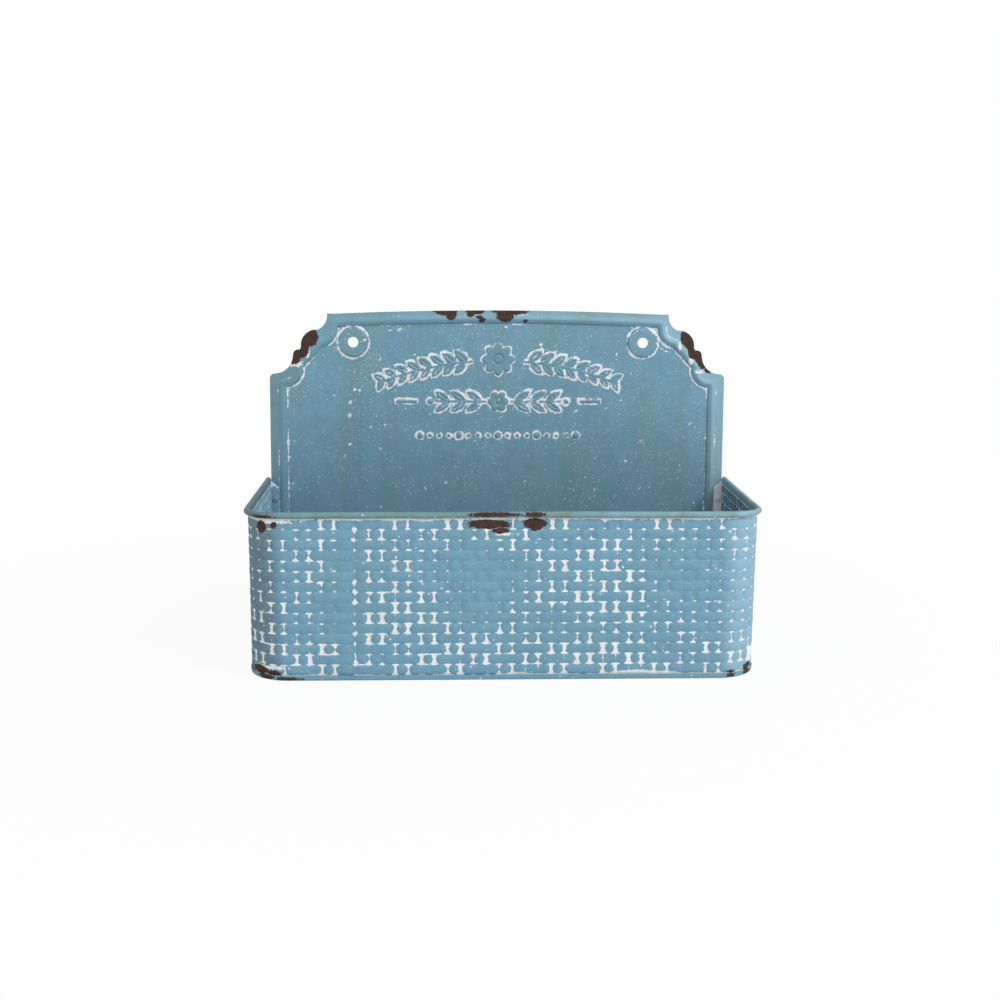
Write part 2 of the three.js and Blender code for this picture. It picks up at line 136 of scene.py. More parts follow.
class PaintTones(bpy.types.PropertyGroup):
    blue: colour("Blue", "Body colour of the paint", tone(114, 159, 182))
    deep: colour("Deep blue", "Darker mottling of the paint", tone(94, 140, 168))
    # Pale blue also serves as painted light, on the parts made paler where the light falls.
    pale: colour("Pale blue", "Rubbed, lighter paint", tone(150, 188, 208))
    green: colour("Green", "Greenish worn paint", tone(108, 150, 156))
    olive: colour("Olive", "Greenest patina", tone(112, 138, 118))
    # Grey also serves as painted shade, on the parts darkened where shade falls.
    grey: colour("Grey", "Grimy paint", tone(94, 112, 118))
    white: colour("White", "Primer left in the hollows", tone(234, 239, 243))
    cream: colour("Cream", "Aged primer", tone(228, 220, 213))
    rust: colour("Rust", "Bare rusted tin", tone(70, 49, 41))
    dark_rust: colour("Dark rust", "Pitted rust", tone(46, 32, 28))
    red_rust: colour("Red rust", "Fresher, redder rust", tone(112, 58, 42))
    steel: colour("Steel", "Old wire", tone(104, 106, 98))


def sizes():
    scene = bpy.context.scene
    return scene.planter_wall, scene.planter_weave, scene.planter_plate


# ---- mesh helpers ----

SHARP = math.radians(50)  # an edge with a wider turn than this stays sharp


def new_mesh(*layers):
    """An empty bmesh whose points carry the named values."""
    bm = bmesh.new()
    for name in layers:
        bm.verts.layers.float.new(name)
    return bm


def mark(bm, layer, verts, value):
    """Writes one value on some points."""
    store = bm.verts.layers.float[layer]
    for v in verts:
        v[store] = value


def points_in(geometry):
    return [v for v in geometry if isinstance(v, bmesh.types.BMVert)]


def thicken(bm, thickness):
    """Gives a one-sided skin its thickness, away from its normals, and marks the new side."""
    shown = set(bm.verts)
    bm.normal_update()
    bmesh.ops.solidify(bm, geom=bm.faces[:], thickness=thickness)
    mark(bm, "inside", [v for v in bm.verts if v not in shown], 1)


def thicken_back(bm, thickness):
    """Gives a skin that faces the front its thickness, straight back."""
    pulled = bmesh.ops.extrude_face_region(bm, geom=bm.faces[:], use_keep_orig=True)["geom"]
    back = points_in(pulled)
    bmesh.ops.translate(bm, verts=back, vec=(0, thickness, 0))
    mark(bm, "inside", back, 1)
    bmesh.ops.recalc_face_normals(bm, faces=bm.faces[:])


def weld(bm):
    bmesh.ops.remove_doubles(bm, verts=bm.verts[:], dist=CLOSE)
    bmesh.ops.recalc_face_normals(bm, faces=bm.faces[:])


def soften(bm, edges, width, segments=2):
    """Rounds some edges."""
    bmesh.ops.bevel(
        bm, geom=edges, offset=width, segments=segments, profile=0.5, affect="EDGES", material=-1
    )


def spun(bm, x, z, profile, steps):
    """Turns a profile of radii and depths once round the axis at x and z. Gives its points."""
    first = len(bm.verts)
    verts = [bm.verts.new((x + radius, y, z)) for radius, y in profile]
    edges = [bm.edges.new(pair) for pair in zip(verts, verts[1:])]
    bmesh.ops.spin(
        bm, geom=verts + edges, cent=(x, 0, z), axis=(0, 1, 0), angle=2 * math.pi,
        steps=steps, use_merge=True,
    )
    bm.verts.ensure_lookup_table()
    return bm.verts[first:]


def finished(bm, name, finish):
    """Turns a bmesh into an object that rides on the planter's body."""
    for edge in bm.edges:
        edge.smooth = len(edge.link_faces) == 2 and edge.calc_face_angle(0) < SHARP
    for face in bm.faces:
        face.smooth = True
    mesh = bpy.data.meshes.new(name)
    bm.to_mesh(mesh)
    bm.free()
    mesh.materials.append(finish)
    piece = bpy.data.objects.new(name, mesh)
    bpy.context.scene.collection.objects.link(piece)
    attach(piece, BODY)
    return piece


def ease(value):
    """Smooth step of a number or an array from 0 to 1."""
    share = np.clip(value, 0, 1)
    return share * share * (3 - 2 * share)


# ---- the path of the walls ----

class WallPath:
    """The walls seen from above: along the front, round a corner and back to the plate.

    A station is the distance along them from the middle of the front, negative on the left."""

    def __init__(self, wall, plate):
        self.half = lip_high.x - wall.sheet - wall.fit_gap
        self.front = lip_low.y + wall.sheet + wall.fit_gap
        self.back = plate_high.y - plate.emboss - wall.sheet
        self.widest = max(wall.rim_corner, wall.foot_corner)
        self.front_half = self.half - self.widest
        mean = (wall.rim_corner + wall.foot_corner) / 2
        self.corner_run = 2 * self.widest - (2 - math.pi / 2) * mean
        self.end = self.front_half + self.corner_run + self.back - self.front - self.widest

    def at(self, station, radius):
        """Points and outward directions, for arrays of stations and corner radii."""
        side = np.where(station < 0, -1.0, 1.0)
        along = np.abs(station)
        lead = self.widest - radius
        turn = radius * math.pi / 2
        share = np.clip((along - self.front_half) / self.corner_run, 0, 1)
        run = share * (2 * lead + turn)
        angle = np.clip((run - lead) / radius, 0, math.pi / 2)
        x = self.half - radius + radius * np.sin(angle) + np.minimum(run - lead, 0)
        y = self.front + radius - radius * np.cos(angle) + np.maximum(run - lead - turn, 0)
        x = np.where(along < self.front_half, along, x)
        y = y + np.maximum(along - self.front_half - self.corner_run, 0)
        return side * x, y, side * np.sin(angle), -np.cos(angle)


def draped_grid(stations, levels, place, layers):
    """A bmesh grid with a column for each station and a row for each level, laid by place."""
    bm = new_mesh("inside", "relief", "aside", "from_edge", "from_seam", "rim_drop")
    columns, rows = len(stations) - 1, len(levels) - 1
    bmesh.ops.create_grid(bm, x_segments=columns, y_segments=rows, size=0.5)
    i = np.array([round((v.co.x + 0.5) * columns) for v in bm.verts])
    j = np.array([round((v.co.y + 0.5) * rows) for v in bm.verts])
    points = place(stations[i], levels[j], j)
    for v, co in zip(bm.verts, points.tolist()):
        v.co = co
    for name, values in layers(stations[i], levels[j], j).items():
        store = bm.verts.layers.float[name]
        for v, value in zip(bm.verts, values.tolist()):
            v[store] = value
    sheet_map = bm.loops.layers.uv.new("sheet")
    flat = dict(zip(bm.verts, zip(stations[i].tolist(), levels[j].tolist())))
    for face in bm.faces:
        for loop in face.loops:
            loop[sheet_map].uv = flat[loop.vert]
    return bm


# ---- the woven wall with its rolled rim ----

CROWN = 0.12  # how much lower a strand is along its sides, as a share of the relief
UNEVEN = 0.16  # how much the strands differ in height, as a share of the relief
SHORT_SLOPE = 0.42  # where the slope along a strand has its extra row of points
PLAIN_END = 2.5 * MM  # plain strip at the rear edges of the walls
END_FADE = 1.5 * MM  # over which the weave rises from that strip
LEAST_COLUMN = 0.1 * MM


class Weave:
    """Heights of the pressed basket weave on the flat sheet.

    The pattern was pressed with two dies, which meet in a sunk line left of the middle."""

    def __init__(self, weave, rim_centre, end):
        self.sizes = weave
        self.top = rim_centre - weave.top_margin
        self.row = (self.top - weave.bottom) / weave.rows
        self.end = end
        right = np.arange(-weave.seam_column, math.ceil(end / weave.pitch))
        left = np.arange(math.ceil(end / weave.left_pitch) - weave.seam_column)
        self.columns = np.concatenate([-weave.seam_column - 1 - left[::-1], right])
        self.stakes = np.concatenate([
            weave.left_start - weave.left_pitch * left[::-1], weave.start + weave.pitch * right
        ])
        self.borders = (self.stakes[:-1] + self.stakes[1:]) / 2
        self.borders[len(left) - 1] = weave.seam

    def stations(self):
        """Columns of the mesh: close together where a strand ends, wide apart on its back."""
        w = self.sizes
        foot = w.stake / 2
        far = foot + w.gap
        marks = (0, foot - w.end_slope, foot, foot + w.gap / 2, far, far + w.end_slope)
        sides = [side * m for m in marks for side in (-1, 1)]
        seam_marks = (w.seam_width / 2, w.seam_width / 2 + w.end_slope)
        every = [s + m for s in self.stakes for m in sides] + list(self.borders)
        every += [w.seam + side * m for m in seam_marks for side in (-1, 1)]
        inner = sorted(s for s in every if abs(s) < self.end - MM)
        kept = [a for a, b in zip(inner, inner[1:]) if b - a > LEAST_COLUMN] + [inner[-1]]
        return np.array([-self.end, *kept, self.end])

    def levels(self):
        """Rows of the mesh over the weave, from the foot up."""
        w, slope = self.sizes, self.sizes.edge_slope
        short = SHORT_SLOPE * slope
        marks = (0, short, slope, self.row / 2, self.row - slope, self.row - short)
        return [w.bottom + r * self.row + m for r in range(w.rows) for m in marks]

    def cell(self, station, level):
        """For arrays of places: the row, the column, and if the stake shows there."""
        index = np.searchsorted(self.borders, station)
        row = np.floor((self.top - level) / self.row - 1e-6)
        column = self.columns[index]
        return row, column, (column + row) % 2 == 0

    def aside(self, station):
        """Distance from the middle of the nearest stake."""
        return np.abs(station - self.stakes[np.searchsorted(self.borders, station)])

    def from_edge(self, level):
        """Distance from the nearest groove between two rows."""
        depth = (self.top - level) / self.row
        return np.abs(depth - np.round(depth)) * self.row

    def from_seam(self, station):
        return np.abs(station - self.sizes.seam)

    def height(self, station, level):
        w = self.sizes
        row, column, is_stake = self.cell(station, level)
        aside = self.aside(station)
        foot = w.stake / 2
        on_stake = ease((foot - aside) / w.end_slope)
        on_long = np.where(is_stake, ease((aside - foot - w.gap) / w.end_slope), 1)
        across = np.where(is_stake, on_stake + on_long, 1)
        across = across * ease((self.from_seam(station) - w.seam_width / 2) / w.end_slope)
        edge = self.from_edge(level)
        crown = 1 - CROWN * (1 - 2 * edge / self.row) ** 2
        chance = np.sin(37.1 * row + 17.7 * column) * np.cos(5.3 * column + 2.9 * row)
        uneven = 1 + UNEVEN * chance
        inside = (level > w.bottom) & (level < self.top)
        margin = ease((self.end - PLAIN_END - np.abs(station)) / END_FADE)
        return w.relief * across * ease(edge / w.edge_slope) * crown * uneven * inside * margin


CURL_TURN = 285  # degrees that the sheet turns round the rim wire
CURL_POINTS = 15
CURL_PLAY = 0.08 * MM  # keeps the roll just inside its solid
RIM_MARGIN = 1.2 * MM  # last row of points below the roll
SAG = 0.2 * MM  # unevenness of the rim, as bent by hand
SAG_REACH = 20 * MM  # how far down the wall it fades out


def build_wrap():
    """The woven front and sides, rolled at the rim; the flanges behind them are built as a piece of
    their own.
    """
    wall, weave_sizes, plate = sizes()
    path = WallPath(wall, plate)
    centre = wrap_high.z - wall.curl_radius
    weave = Weave(weave_sizes, centre, path.end)
    foot = wrap_low.z
    curl = np.radians(np.linspace(0, CURL_TURN, CURL_POINTS))
    half_band = (foot + weave_sizes.bottom) / 2
    flat = [foot, half_band, *weave.levels(), weave.top, centre - RIM_MARGIN]
    bore = wall.curl_radius - wall.sheet - CURL_PLAY
    levels = np.array([*flat, *(centre + bore * curl)])
    first_curl = len(flat)
    turns = np.concatenate([np.zeros(first_curl), curl])

    def lay(station, level, j):
        rising = np.clip(level, foot, centre)
        share = rising / centre
        radius = wall.foot_corner + (wall.rim_corner - wall.foot_corner) * share
        x, y, nx, ny = path.at(station, radius)
        turned = turns[j]
        curling = j >= first_curl
        out = np.where(curling, bore * (1 - np.cos(turned)), weave.height(station, level))
        z = np.where(curling, centre + bore * np.sin(turned), level)
        sag = SAG * (np.sin(station * 31) * np.sin(station * 13 + 1) - 1)
        z = z + sag * np.clip(1 - (centre - level) / SAG_REACH, 0, 1)
        return np.stack([x + nx * out, y + ny * out, z], axis=1)

    def layers(station, level, j):
        curling = j >= first_curl
        return {
            "relief": np.where(curling, 1, weave.height(station, level) / weave_sizes.relief),
            "aside": weave.aside(station) / MM,
            "from_edge": weave.from_edge(level) / MM,
            "from_seam": weave.from_seam(station) / MM,
            "rim_drop": np.where(curling, -1, (weave.top - level) / MM),
        }

    bm = draped_grid(weave.stations(), levels, lay, layers)
    mark_cells(bm, weave)
    thicken(bm, wall.sheet)
    piece = finished(bm, "woven_walls", woven_paint())
    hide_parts("front_wrap")
    return piece


def mark_cells(bm, weave):
    """Writes on each face if its cell shows a stake, and a random share for the cell."""
    stake = bm.faces.layers.float.new("stake")
    luck = bm.faces.layers.float.new("luck")
    sheet_map = bm.loops.layers.uv.active
    middles = np.array([
        np.mean([loop[sheet_map].uv for loop in face.loops], axis=0) for face in bm.faces
    ])
    row, column, is_stake = weave.cell(middles[:, 0], middles[:, 1])
    is_stake = is_stake & (row >= 0) & (row < weave.sizes.rows)
    chance = np.modf(np.abs(np.sin(row * 12.9898 + column * 78.233) * 437.585))[0]
    for face, shows, share in zip(bm.faces, is_stake.tolist(), chance.tolist()):
        face[stake] = shows
        face[luck] = share


FLANGE_OVERLAP = 0.4  # share of the sheet by which a flange reaches into the wall beside it
FLANGE_PLAY = 0.02 * MM  # keeps it off the plate
CUT_ROUND = 0.3 * MM  # rounding of its cut edges


def build_flanges():
    """The rear edges of the walls, turned in against the plate and cut off at a slant."""
    wall, _, plate = sizes()
    path = WallPath(wall, plate)
    bm = bmesh.new()
    top = wrap_high.z - wall.curl_radius - wall.sheet
    near, far = path.back - wall.sheet, path.back
    outer = path.half - FLANGE_OVERLAP * wall.sheet
    inner = path.half - wall.sheet - wall.flange
    slant = top - wall.flange_drop
    corners = (outer, wrap_low.z), (inner, wrap_low.z), (inner, slant), (outer, top)
    for side in (-1, 1):
        face = bm.faces.new([bm.verts.new((side * x, near, z)) for x, z in corners])
        pulled = bmesh.ops.extrude_face_region(bm, geom=[face])["geom"]
        shift = (0, far - near - FLANGE_PLAY, 0)
        bmesh.ops.translate(bm, verts=points_in(pulled), vec=shift)
    bmesh.ops.recalc_face_normals(bm, faces=bm.faces[:])
    soften(bm, [e for e in bm.edges if min(v.co.y for v in e.verts) < near + CLOSE], CUT_ROUND)
    piece = finished(bm, "rear_flanges", flange_paint("Flange paint"))
    return piece


# ---- the base pan ----

PAN_STEPS = 24  # along the bend of a front corner
LIP_ROUND = 0.25 * MM  # rounding of the lip's cut edge


def pan_outline(bm, half, front, back, radius, z):
    """The foot's outline: straight at the back, round at the two front corners."""
    points = [Vector((half, back, z))]
    for side, start in ((1, 0), (-1, -math.pi / 2)):
        centre = Vector((side * (half - radius), front + radius, z))
        for k in range(PAN_STEPS + 1):
            angle = start - math.pi / 2 * k / PAN_STEPS
            points.append(centre + Vector((math.cos(angle), math.sin(angle), 0)) * radius)
    points.append(Vector((-half, back, z)))
    return [bm.verts.new(p) for p in points]


def build_pan():
    """The shallow tray under the walls, with its lip turned up round their foot."""
    wall, _, _ = sizes()
    bm = bmesh.new()
    radius = wall.foot_corner + wall.sheet + wall.fit_gap
    tall = lip_high.z - lip_low.z
    ring = pan_outline(bm, lip_high.x, lip_low.y, lip_high.y, radius, lip_low.z)
    base = bm.faces.new(ring)
    base.normal_update()
    if base.normal.z > 0:
        bmesh.ops.reverse_faces(bm, faces=[base])
    bmesh.ops.solidify(bm, geom=[base], thickness=tall)
    weld(bm)
    top = [f for f in bm.faces if f.normal.z > 0.9]
    bmesh.ops.inset_region(bm, faces=top, thickness=wall.sheet, use_even_offset=True)
    bmesh.ops.translate(bm, verts=list(top[0].verts), vec=(0, 0, wall.sheet - tall))
    foot = [e for e in bm.edges if max(v.co.z for v in e.verts) < lip_low.z + CLOSE]
    soften(bm, foot, wall.pan_bend, segments=5)
    on_lip = [e for e in bm.edges if min(v.co.z for v in e.verts) > lip_high.z - CLOSE]
    soften(bm, [e for e in on_lip if e.calc_face_angle(0) > SHARP], LIP_ROUND)
    weld(bm)
    piece = finished(bm, "base_pan", pan_paint())
    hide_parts("base_floor", "base_lip")
    return piece


# ---- the back plate ----

def arc(x, z, radius, start, end, steps):
    """Points on an arc, with angles in degrees."""
    angles = np.radians(np.linspace(start, end, steps + 1))
    return np.stack([x + radius * np.cos(angles), z + radius * np.sin(angles)], axis=1)


def bowed(half, z, bow, steps):
    """The top edge from the middle to its right end, rising in the middle."""
    x = half * np.arange(steps) / steps
    return np.stack([x, z + bow * (1 - (x / half) ** 2)], axis=1)


def whole(half):
    """A right half, from the top middle round to the foot, joined to its mirror image."""
    left = half[1:][::-1] * np.array([-1, 1])
    return np.concatenate([half, left])


def spaced(loop, step):
    """The same closed loop with points no further apart than step."""
    points = []
    for a, b in zip(loop, np.roll(loop, -1, axis=0)):
        count = max(1, math.ceil(np.linalg.norm(b - a) / step - 1e-6))
        points.extend(a + (b - a) * k / count for k in range(count))
    return np.array(points)


def offset(loop, distance):
    """Moves a clockwise loop outwards, square to its sides."""
    before = loop - np.roll(loop, 1, axis=0)
    after = np.roll(loop, -1, axis=0) - loop
    def square(run):
        run = run / np.linalg.norm(run, axis=1, keepdims=True)
        return np.stack([-run[:, 1], run[:, 0]], axis=1)
    normal = square(before) + square(after)
    normal /= np.linalg.norm(normal, axis=1, keepdims=True)
    stretch = np.minimum(1 / np.maximum((normal * square(after)).sum(axis=1), 0.2), 1.6)
    return loop + normal * (distance * stretch)[:, None]


class PlateShape:
    """Outlines of the back plate, seen from the front."""

    # How far in from the side, down from the top and the radius, as shares of the corner's size,
    # then the angles and the number of steps.
    CORNER_ARCS = (
        (0.686, 0.016, 0.264, 175, 247, 12),
        (0.77, 0.512, 0.256, 92, -8, 16),
        (0.468, 0.668, 0.084, 105, 20, 6),
        (0.08, 0.68, 0.3, 188, 270, 12),
        (0.084, 1.064, 0.084, 90, 0, 6),
    )

    def __init__(self, wall, plate):
        self.wall, self.plate = wall, plate
        self.half = plate_high.x
        self.bow = plate_high.z - plate.top
        self.end = self.half - 0.97 * plate.corner
        self.shoulder = plate.top - 1.06 * plate.corner
        flange_edge = lip_high.x - 2 * wall.sheet - wall.fit_gap - wall.flange
        self.field_half = flange_edge - wall.fit_gap - plate.bead
        self.field_top = plate.top - plate.border_top
        self.field_end = self.end - plate.notch
        self.pad_x = self.field_end - plate.pad_margin - plate.pad / 2
        self.pad_z = self.field_top - plate.pad_margin - plate.pad / 2

    def outline(self):
        size, top = self.plate.corner, self.plate.top
        corner = [
            arc(self.half - inward * size, top - down * size, radius * size, start, end, steps)
            for inward, down, radius, start, end, steps in self.CORNER_ARCS
        ]
        foot = np.array([[self.half, plate_low.z]])
        edge = bowed(self.end, top, self.bow, 40)
        return whole(np.concatenate([edge, *corner, foot]))

    def field(self):
        r = self.plate.scallop
        corner = [
            np.array([[self.field_end, self.field_top]]),
            arc(self.field_end + r, self.field_top - 0.18 * r, r, 180, 262, 14),
            arc(self.field_half, self.shoulder - self.plate.notch + r, r, 172, 270, 14),
            np.array([[self.field_half, plate_low.z + self.plate.border_foot]]),
        ]
        edge = bowed(self.field_end, self.field_top, self.bow, 40)
        return whole(np.concatenate([edge, *corner]))


FAR = 9.0  # millimetres away from any chip or motif


class Ornament:
    """A generic pressed spray of leaves round a small flower, as heights over the field."""

    low = Vector((-105.6 * MM, 153.6 * MM))
    high = Vector((105.6 * MM, 239.2 * MM))
    step = 0.8 * MM
    slope = 0.9 * MM
    groove = 0.35 * MM  # half the width of a sunk vein or ring
    garland_radius = 270 * MM
    garland_z = 224 * MM
    garland_leaves = 8
    sprig_z = 190 * MM
    sprig_leaves = 3
    bead_z = 161.5 * MM
    bead_pitch = 8.1 * MM
    beads = 8  # on each side of the middle one

    def __init__(self, x, z):
        self.x, self.z = x, z
        self.inner = np.full_like(x, -1.0)

    def add(self, inside):
        """Adds a motif, given as a depth inside its outline."""
        self.inner = np.maximum(self.inner, inside)

    def leaf(self, x, z, size, width, angle):
        """A pointed leaf from its stem end, turned by an angle in degrees, with a sunk vein."""
        a = math.radians(angle)
        u = (self.x - x) * math.cos(a) + (self.z - z) * math.sin(a)
        v = -(self.x - x) * math.sin(a) + (self.z - z) * math.cos(a)
        radius = (size * size / 4 + width * width / 4) / width
        side = radius - width / 2
        reach = np.hypot(u - size / 2, np.abs(v) + side)
        vein = np.where((u > 0.12 * size) & (u < 0.82 * size), np.abs(v) - self.groove, np.inf)
        self.add(np.minimum(radius - reach, vein))

    def dot(self, x, z, radius):
        self.add(radius - np.hypot(self.x - x, self.z - z))

    def bar(self, x, z, half_length, half_width):
        along = half_length - np.abs(self.x - x)
        across = half_width - np.abs(self.z - z)
        self.add(np.minimum(along, across))

    def bough(self, x, z, radius, start, end, half_width):
        """Part of a circle, between two angles in degrees."""
        angle = np.degrees(np.arctan2(self.z - z, self.x - x))
        ring = half_width - np.abs(np.hypot(self.x - x, self.z - z) - radius)
        self.add(np.where((angle > start) & (angle < end), ring, -1.0))

    def flower(self, x, z, radius, petals):
        angle = np.arctan2(self.z - z, self.x - x)
        reach = np.hypot(self.x - x, self.z - z)
        edge = radius * (0.68 + 0.32 * np.abs(np.cos(angle * petals / 2)) ** 0.8)
        heart = np.abs(reach - 0.3 * radius) - 0.45 * MM
        self.add(np.minimum(edge - reach, heart))

    def draw(self):
        """The whole design: an arched garland, a smaller pair of sprigs and a beaded line."""
        for side in (-1, 1):
            self.draw_garland(side)
            self.draw_sprig(side)
        self.flower(0, self.garland_z + 1 * MM, 13.2 * MM, 8)
        self.dot(0, self.garland_z + 1 * MM, 2.4 * MM)
        self.flower(0, self.sprig_z, 8.6 * MM, 6)
        self.dot(0, self.sprig_z, 1.5 * MM)
        for k in range(-self.beads, self.beads + 1):
            self.dot(k * self.bead_pitch, self.bead_z, 1.15 * MM if k % 4 else 2.4 * MM)
        return self.inner

    def draw_garland(self, side):
        """One half of the garland: a bough with pairs of leaves that shrink towards its tip."""
        radius = self.garland_radius
        base = self.garland_z - radius
        start, end = (69.2, 85.6) if side > 0 else (94.4, 110.8)
        self.bough(0, base, radius, start, end, 0.65 * MM)
        for k in range(self.garland_leaves):
            turn = 5.3 + 2.12 * k
            angle = math.radians(90 - side * turn)
            x, z = radius * math.cos(angle), base + radius * math.sin(angle)
            along = (0 if side > 0 else 180) - side * turn
            size = (14.5 - 0.55 * k) * MM
            self.leaf(x, z, size, 0.44 * size, along + side * 44)
            self.leaf(x + side * 2 * MM, z, size * 0.9, 0.4 * size, along - side * 42)
        tip = math.radians(90 - side * 21.3)
        self.dot(radius * math.cos(tip), base + radius * math.sin(tip), 1.7 * MM)

    def draw_sprig(self, side):
        """One short sprig beside the small flower, with a dot and a bar beyond it."""
        along = 0 if side > 0 else 180
        for k in range(self.sprig_leaves):
            x = side * (14 + 13 * k) * MM
            for lean in (-1, 1):
                z = self.sprig_z + lean * 0.5 * MM
                self.leaf(x, z, 14 * MM, 5.2 * MM, along + lean * side * 33)
        self.bar(side * 31 * MM, self.sprig_z, 21 * MM, 0.6 * MM)
        self.dot(side * 56.5 * MM, self.sprig_z, 1.9 * MM)
        self.bar(side * 76 * MM, self.sprig_z, 8.2 * MM, 1.1 * MM)


def ring_of(bm, loop, y):
    """A closed loop of edges through points of an outline."""
    verts = [bm.verts.new((x, y, z)) for x, z in loop.tolist()]
    return [bm.edges.new((a, b)) for a, b in zip(verts, verts[1:] + verts[:1])]


def inside_loop(loop, x, z):
    """For arrays of points, if they lie inside a closed outline."""
    crossed = np.zeros(len(x), bool)
    for (ax, az), (bx, bz) in zip(loop, np.roll(loop, -1, axis=0)):
        if az == bz:
            continue
        spans = (az > z) != (bz > z)
        crossed ^= spans & (x < ax + (bx - ax) * (z - az) / (bz - az))
    return crossed


def distance_to(loop, x, z):
    """For arrays of points, the distance to a closed outline."""
    best = np.full(len(x), np.inf)
    for a, b in zip(loop, np.roll(loop, -1, axis=0)):
        run = b - a
        share = np.clip(((x - a[0]) * run[0] + (z - a[1]) * run[1]) / (run @ run), 0, 1)
        best = np.minimum(best, np.hypot(x - a[0] - share * run[0], z - a[1] - share * run[1]))
    return best


def upright_grid(bm, low, high, columns, rows, y):
    """A flat grid that faces the front, between two corners in x and z."""
    turn = Matrix.Rotation(math.radians(90), 4, "X")
    middle = (low + high) / 2
    size = high - low
    place = Matrix.Translation((middle.x, y, middle.y)) @ turn @ Matrix.Diagonal((*size, 1, 1))
    return bmesh.ops.create_grid(
        bm, x_segments=columns, y_segments=rows, size=0.5, matrix=place
    )["verts"]


def free_edges(verts):
    every = dict.fromkeys(e for v in verts for e in v.link_edges)
    return [e for e in every if len(e.link_faces) == 1]


EDGE_STEP = 2.2 * MM  # between points on the outlines of the plate and of its field
GRID_STEP = 2.4 * MM  # between points on the plain field
PAD_STEPS = 64
BEAD_PROFILE = (1, 0), (0.86, 0.16), (0.7, 0.68), (0.5, 1), (0.3, 0.68), (0.14, 0.16), (0, 0)


def build_plate():
    """The embossed back plate: border, bead, sunk field, pads with holes and the ornament."""
    wall, _, plate = sizes()
    shape = PlateShape(wall, plate)
    border = plate_high.y - plate.emboss - wall.sheet
    field = plate_high.y - wall.sheet
    bm = new_mesh("inside", "motif", "bead", "field")
    patch = ornament_patch(bm, field)
    outer = ring_of(bm, spaced(shape.outline(), EDGE_STEP), border)
    step_loop = spaced(shape.field(), EDGE_STEP)
    rings = [
        ring_of(bm, offset(step_loop, plate.bead * share), border - plate.bead_height * rise)
        for share, rise in BEAD_PROFILE
    ]
    bmesh.ops.triangle_fill(bm, use_beauty=True, edges=outer + rings[0])
    for share in (0.25, 0.5, 0.75, 1):
        fall = plate.emboss * float(ease(share))
        rings.append(ring_of(bm, offset(step_loop, -plate.step * share), border + fall))
    for a, b in zip(rings, rings[1:]):
        bmesh.ops.bridge_loops(bm, edges=a + b)
    pads = [build_pad(bm, side * shape.pad_x, shape.pad_z, field) for side in (-1, 1)]
    fill_field(bm, shape, step_loop, rings[-1], pads, patch, field)
    bm.normal_update()
    turned = [f for f in bm.faces if f.normal.y > 0]
    bmesh.ops.reverse_faces(bm, faces=turned)
    mark_plate(bm, shape, step_loop)
    thicken_back(bm, wall.sheet)
    piece = finished(bm, "embossed_back_plate", plate_paint(shape))
    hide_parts("back_plate")
    return piece


def build_pad(bm, x, z, field):
    """A raised round pad with its hole, spun round the hole's axis. Gives its foot's edges."""
    _, _, plate = sizes()
    rim, slope = plate.pad / 2, plate.pad_slope
    profile = (
        (rim, 0), (rim - 0.35 * slope, 0.3), (rim - slope, 0.95), (rim - 1.6 * slope, 1),
        (plate.hole / 2 + 1 * MM, 1), (plate.hole / 2, 0.95),
    )
    points = [(r, field - plate.pad_height * rise) for r, rise in profile]
    made = spun(bm, x, z, points, PAD_STEPS)
    hub = Vector((x, field, z))
    return [e for e in free_edges(made) if (e.verts[0].co - hub).length > 0.9 * rim]


def ornament_patch(bm, field):
    """The part of the field that bears the ornament, as a fine grid. Gives its outer edges."""
    low, high = Ornament.low, Ornament.high
    columns = round((high.x - low.x) / Ornament.step)
    rows = round((high.y - low.y) / Ornament.step)
    made = upright_grid(bm, low, high, columns, rows, field)
    _, _, plate = sizes()
    x = np.array([v.co.x for v in made])
    z = np.array([v.co.z for v in made])
    inner = Ornament(x, z).draw()
    rise = ease(inner / Ornament.slope + 0.35) * plate.ornament
    motif = bm.verts.layers.float["motif"]
    for v, up, depth in zip(made, rise.tolist(), inner.tolist()):
        v.co.y -= up
        v[motif] = max(depth / MM, -FAR)
    return free_edges(made)


def fill_field(bm, shape, step_loop, skirt, pads, patch, field):
    """The plain parts of the field: a coarse grid, joined to the step, the pads and the patch."""
    plate = shape.plate
    low = Vector((-shape.field_half, plate_low.z + plate.border_foot))
    high = Vector((shape.field_half, shape.field_top + shape.bow))
    columns, rows = (round(s / GRID_STEP) for s in high - low)
    grid = upright_grid(bm, low, high, columns, rows, field)
    x = np.array([v.co.x for v in grid])
    z = np.array([v.co.z for v in grid])
    margin = 0.7 * MM
    plain = inside_loop(step_loop, x, z) & (distance_to(step_loop, x, z) > plate.step + margin)
    near_pad = np.hypot(np.abs(x) - shape.pad_x, z - shape.pad_z) < plate.pad / 2 + margin
    margin = Ornament.step
    a, b = Ornament.low, Ornament.high
    in_patch = (x > a.x - margin) & (x < b.x + margin) & (z > a.y - margin) & (z < b.y + margin)
    keep = plain & ~near_pad & ~in_patch
    bmesh.ops.delete(bm, geom=[v for v, kept in zip(grid, keep) if not kept], context="VERTS")
    rest = [v for v, kept in zip(grid, keep) if kept]
    lone = [v for v in rest if not v.link_faces]
    bmesh.ops.delete(bm, geom=lone, context="VERTS")
    edges = free_edges([v for v in rest if v.is_valid])
    bmesh.ops.triangle_fill(bm, use_beauty=True, edges=edges + skirt + patch + pads[0] + pads[1])


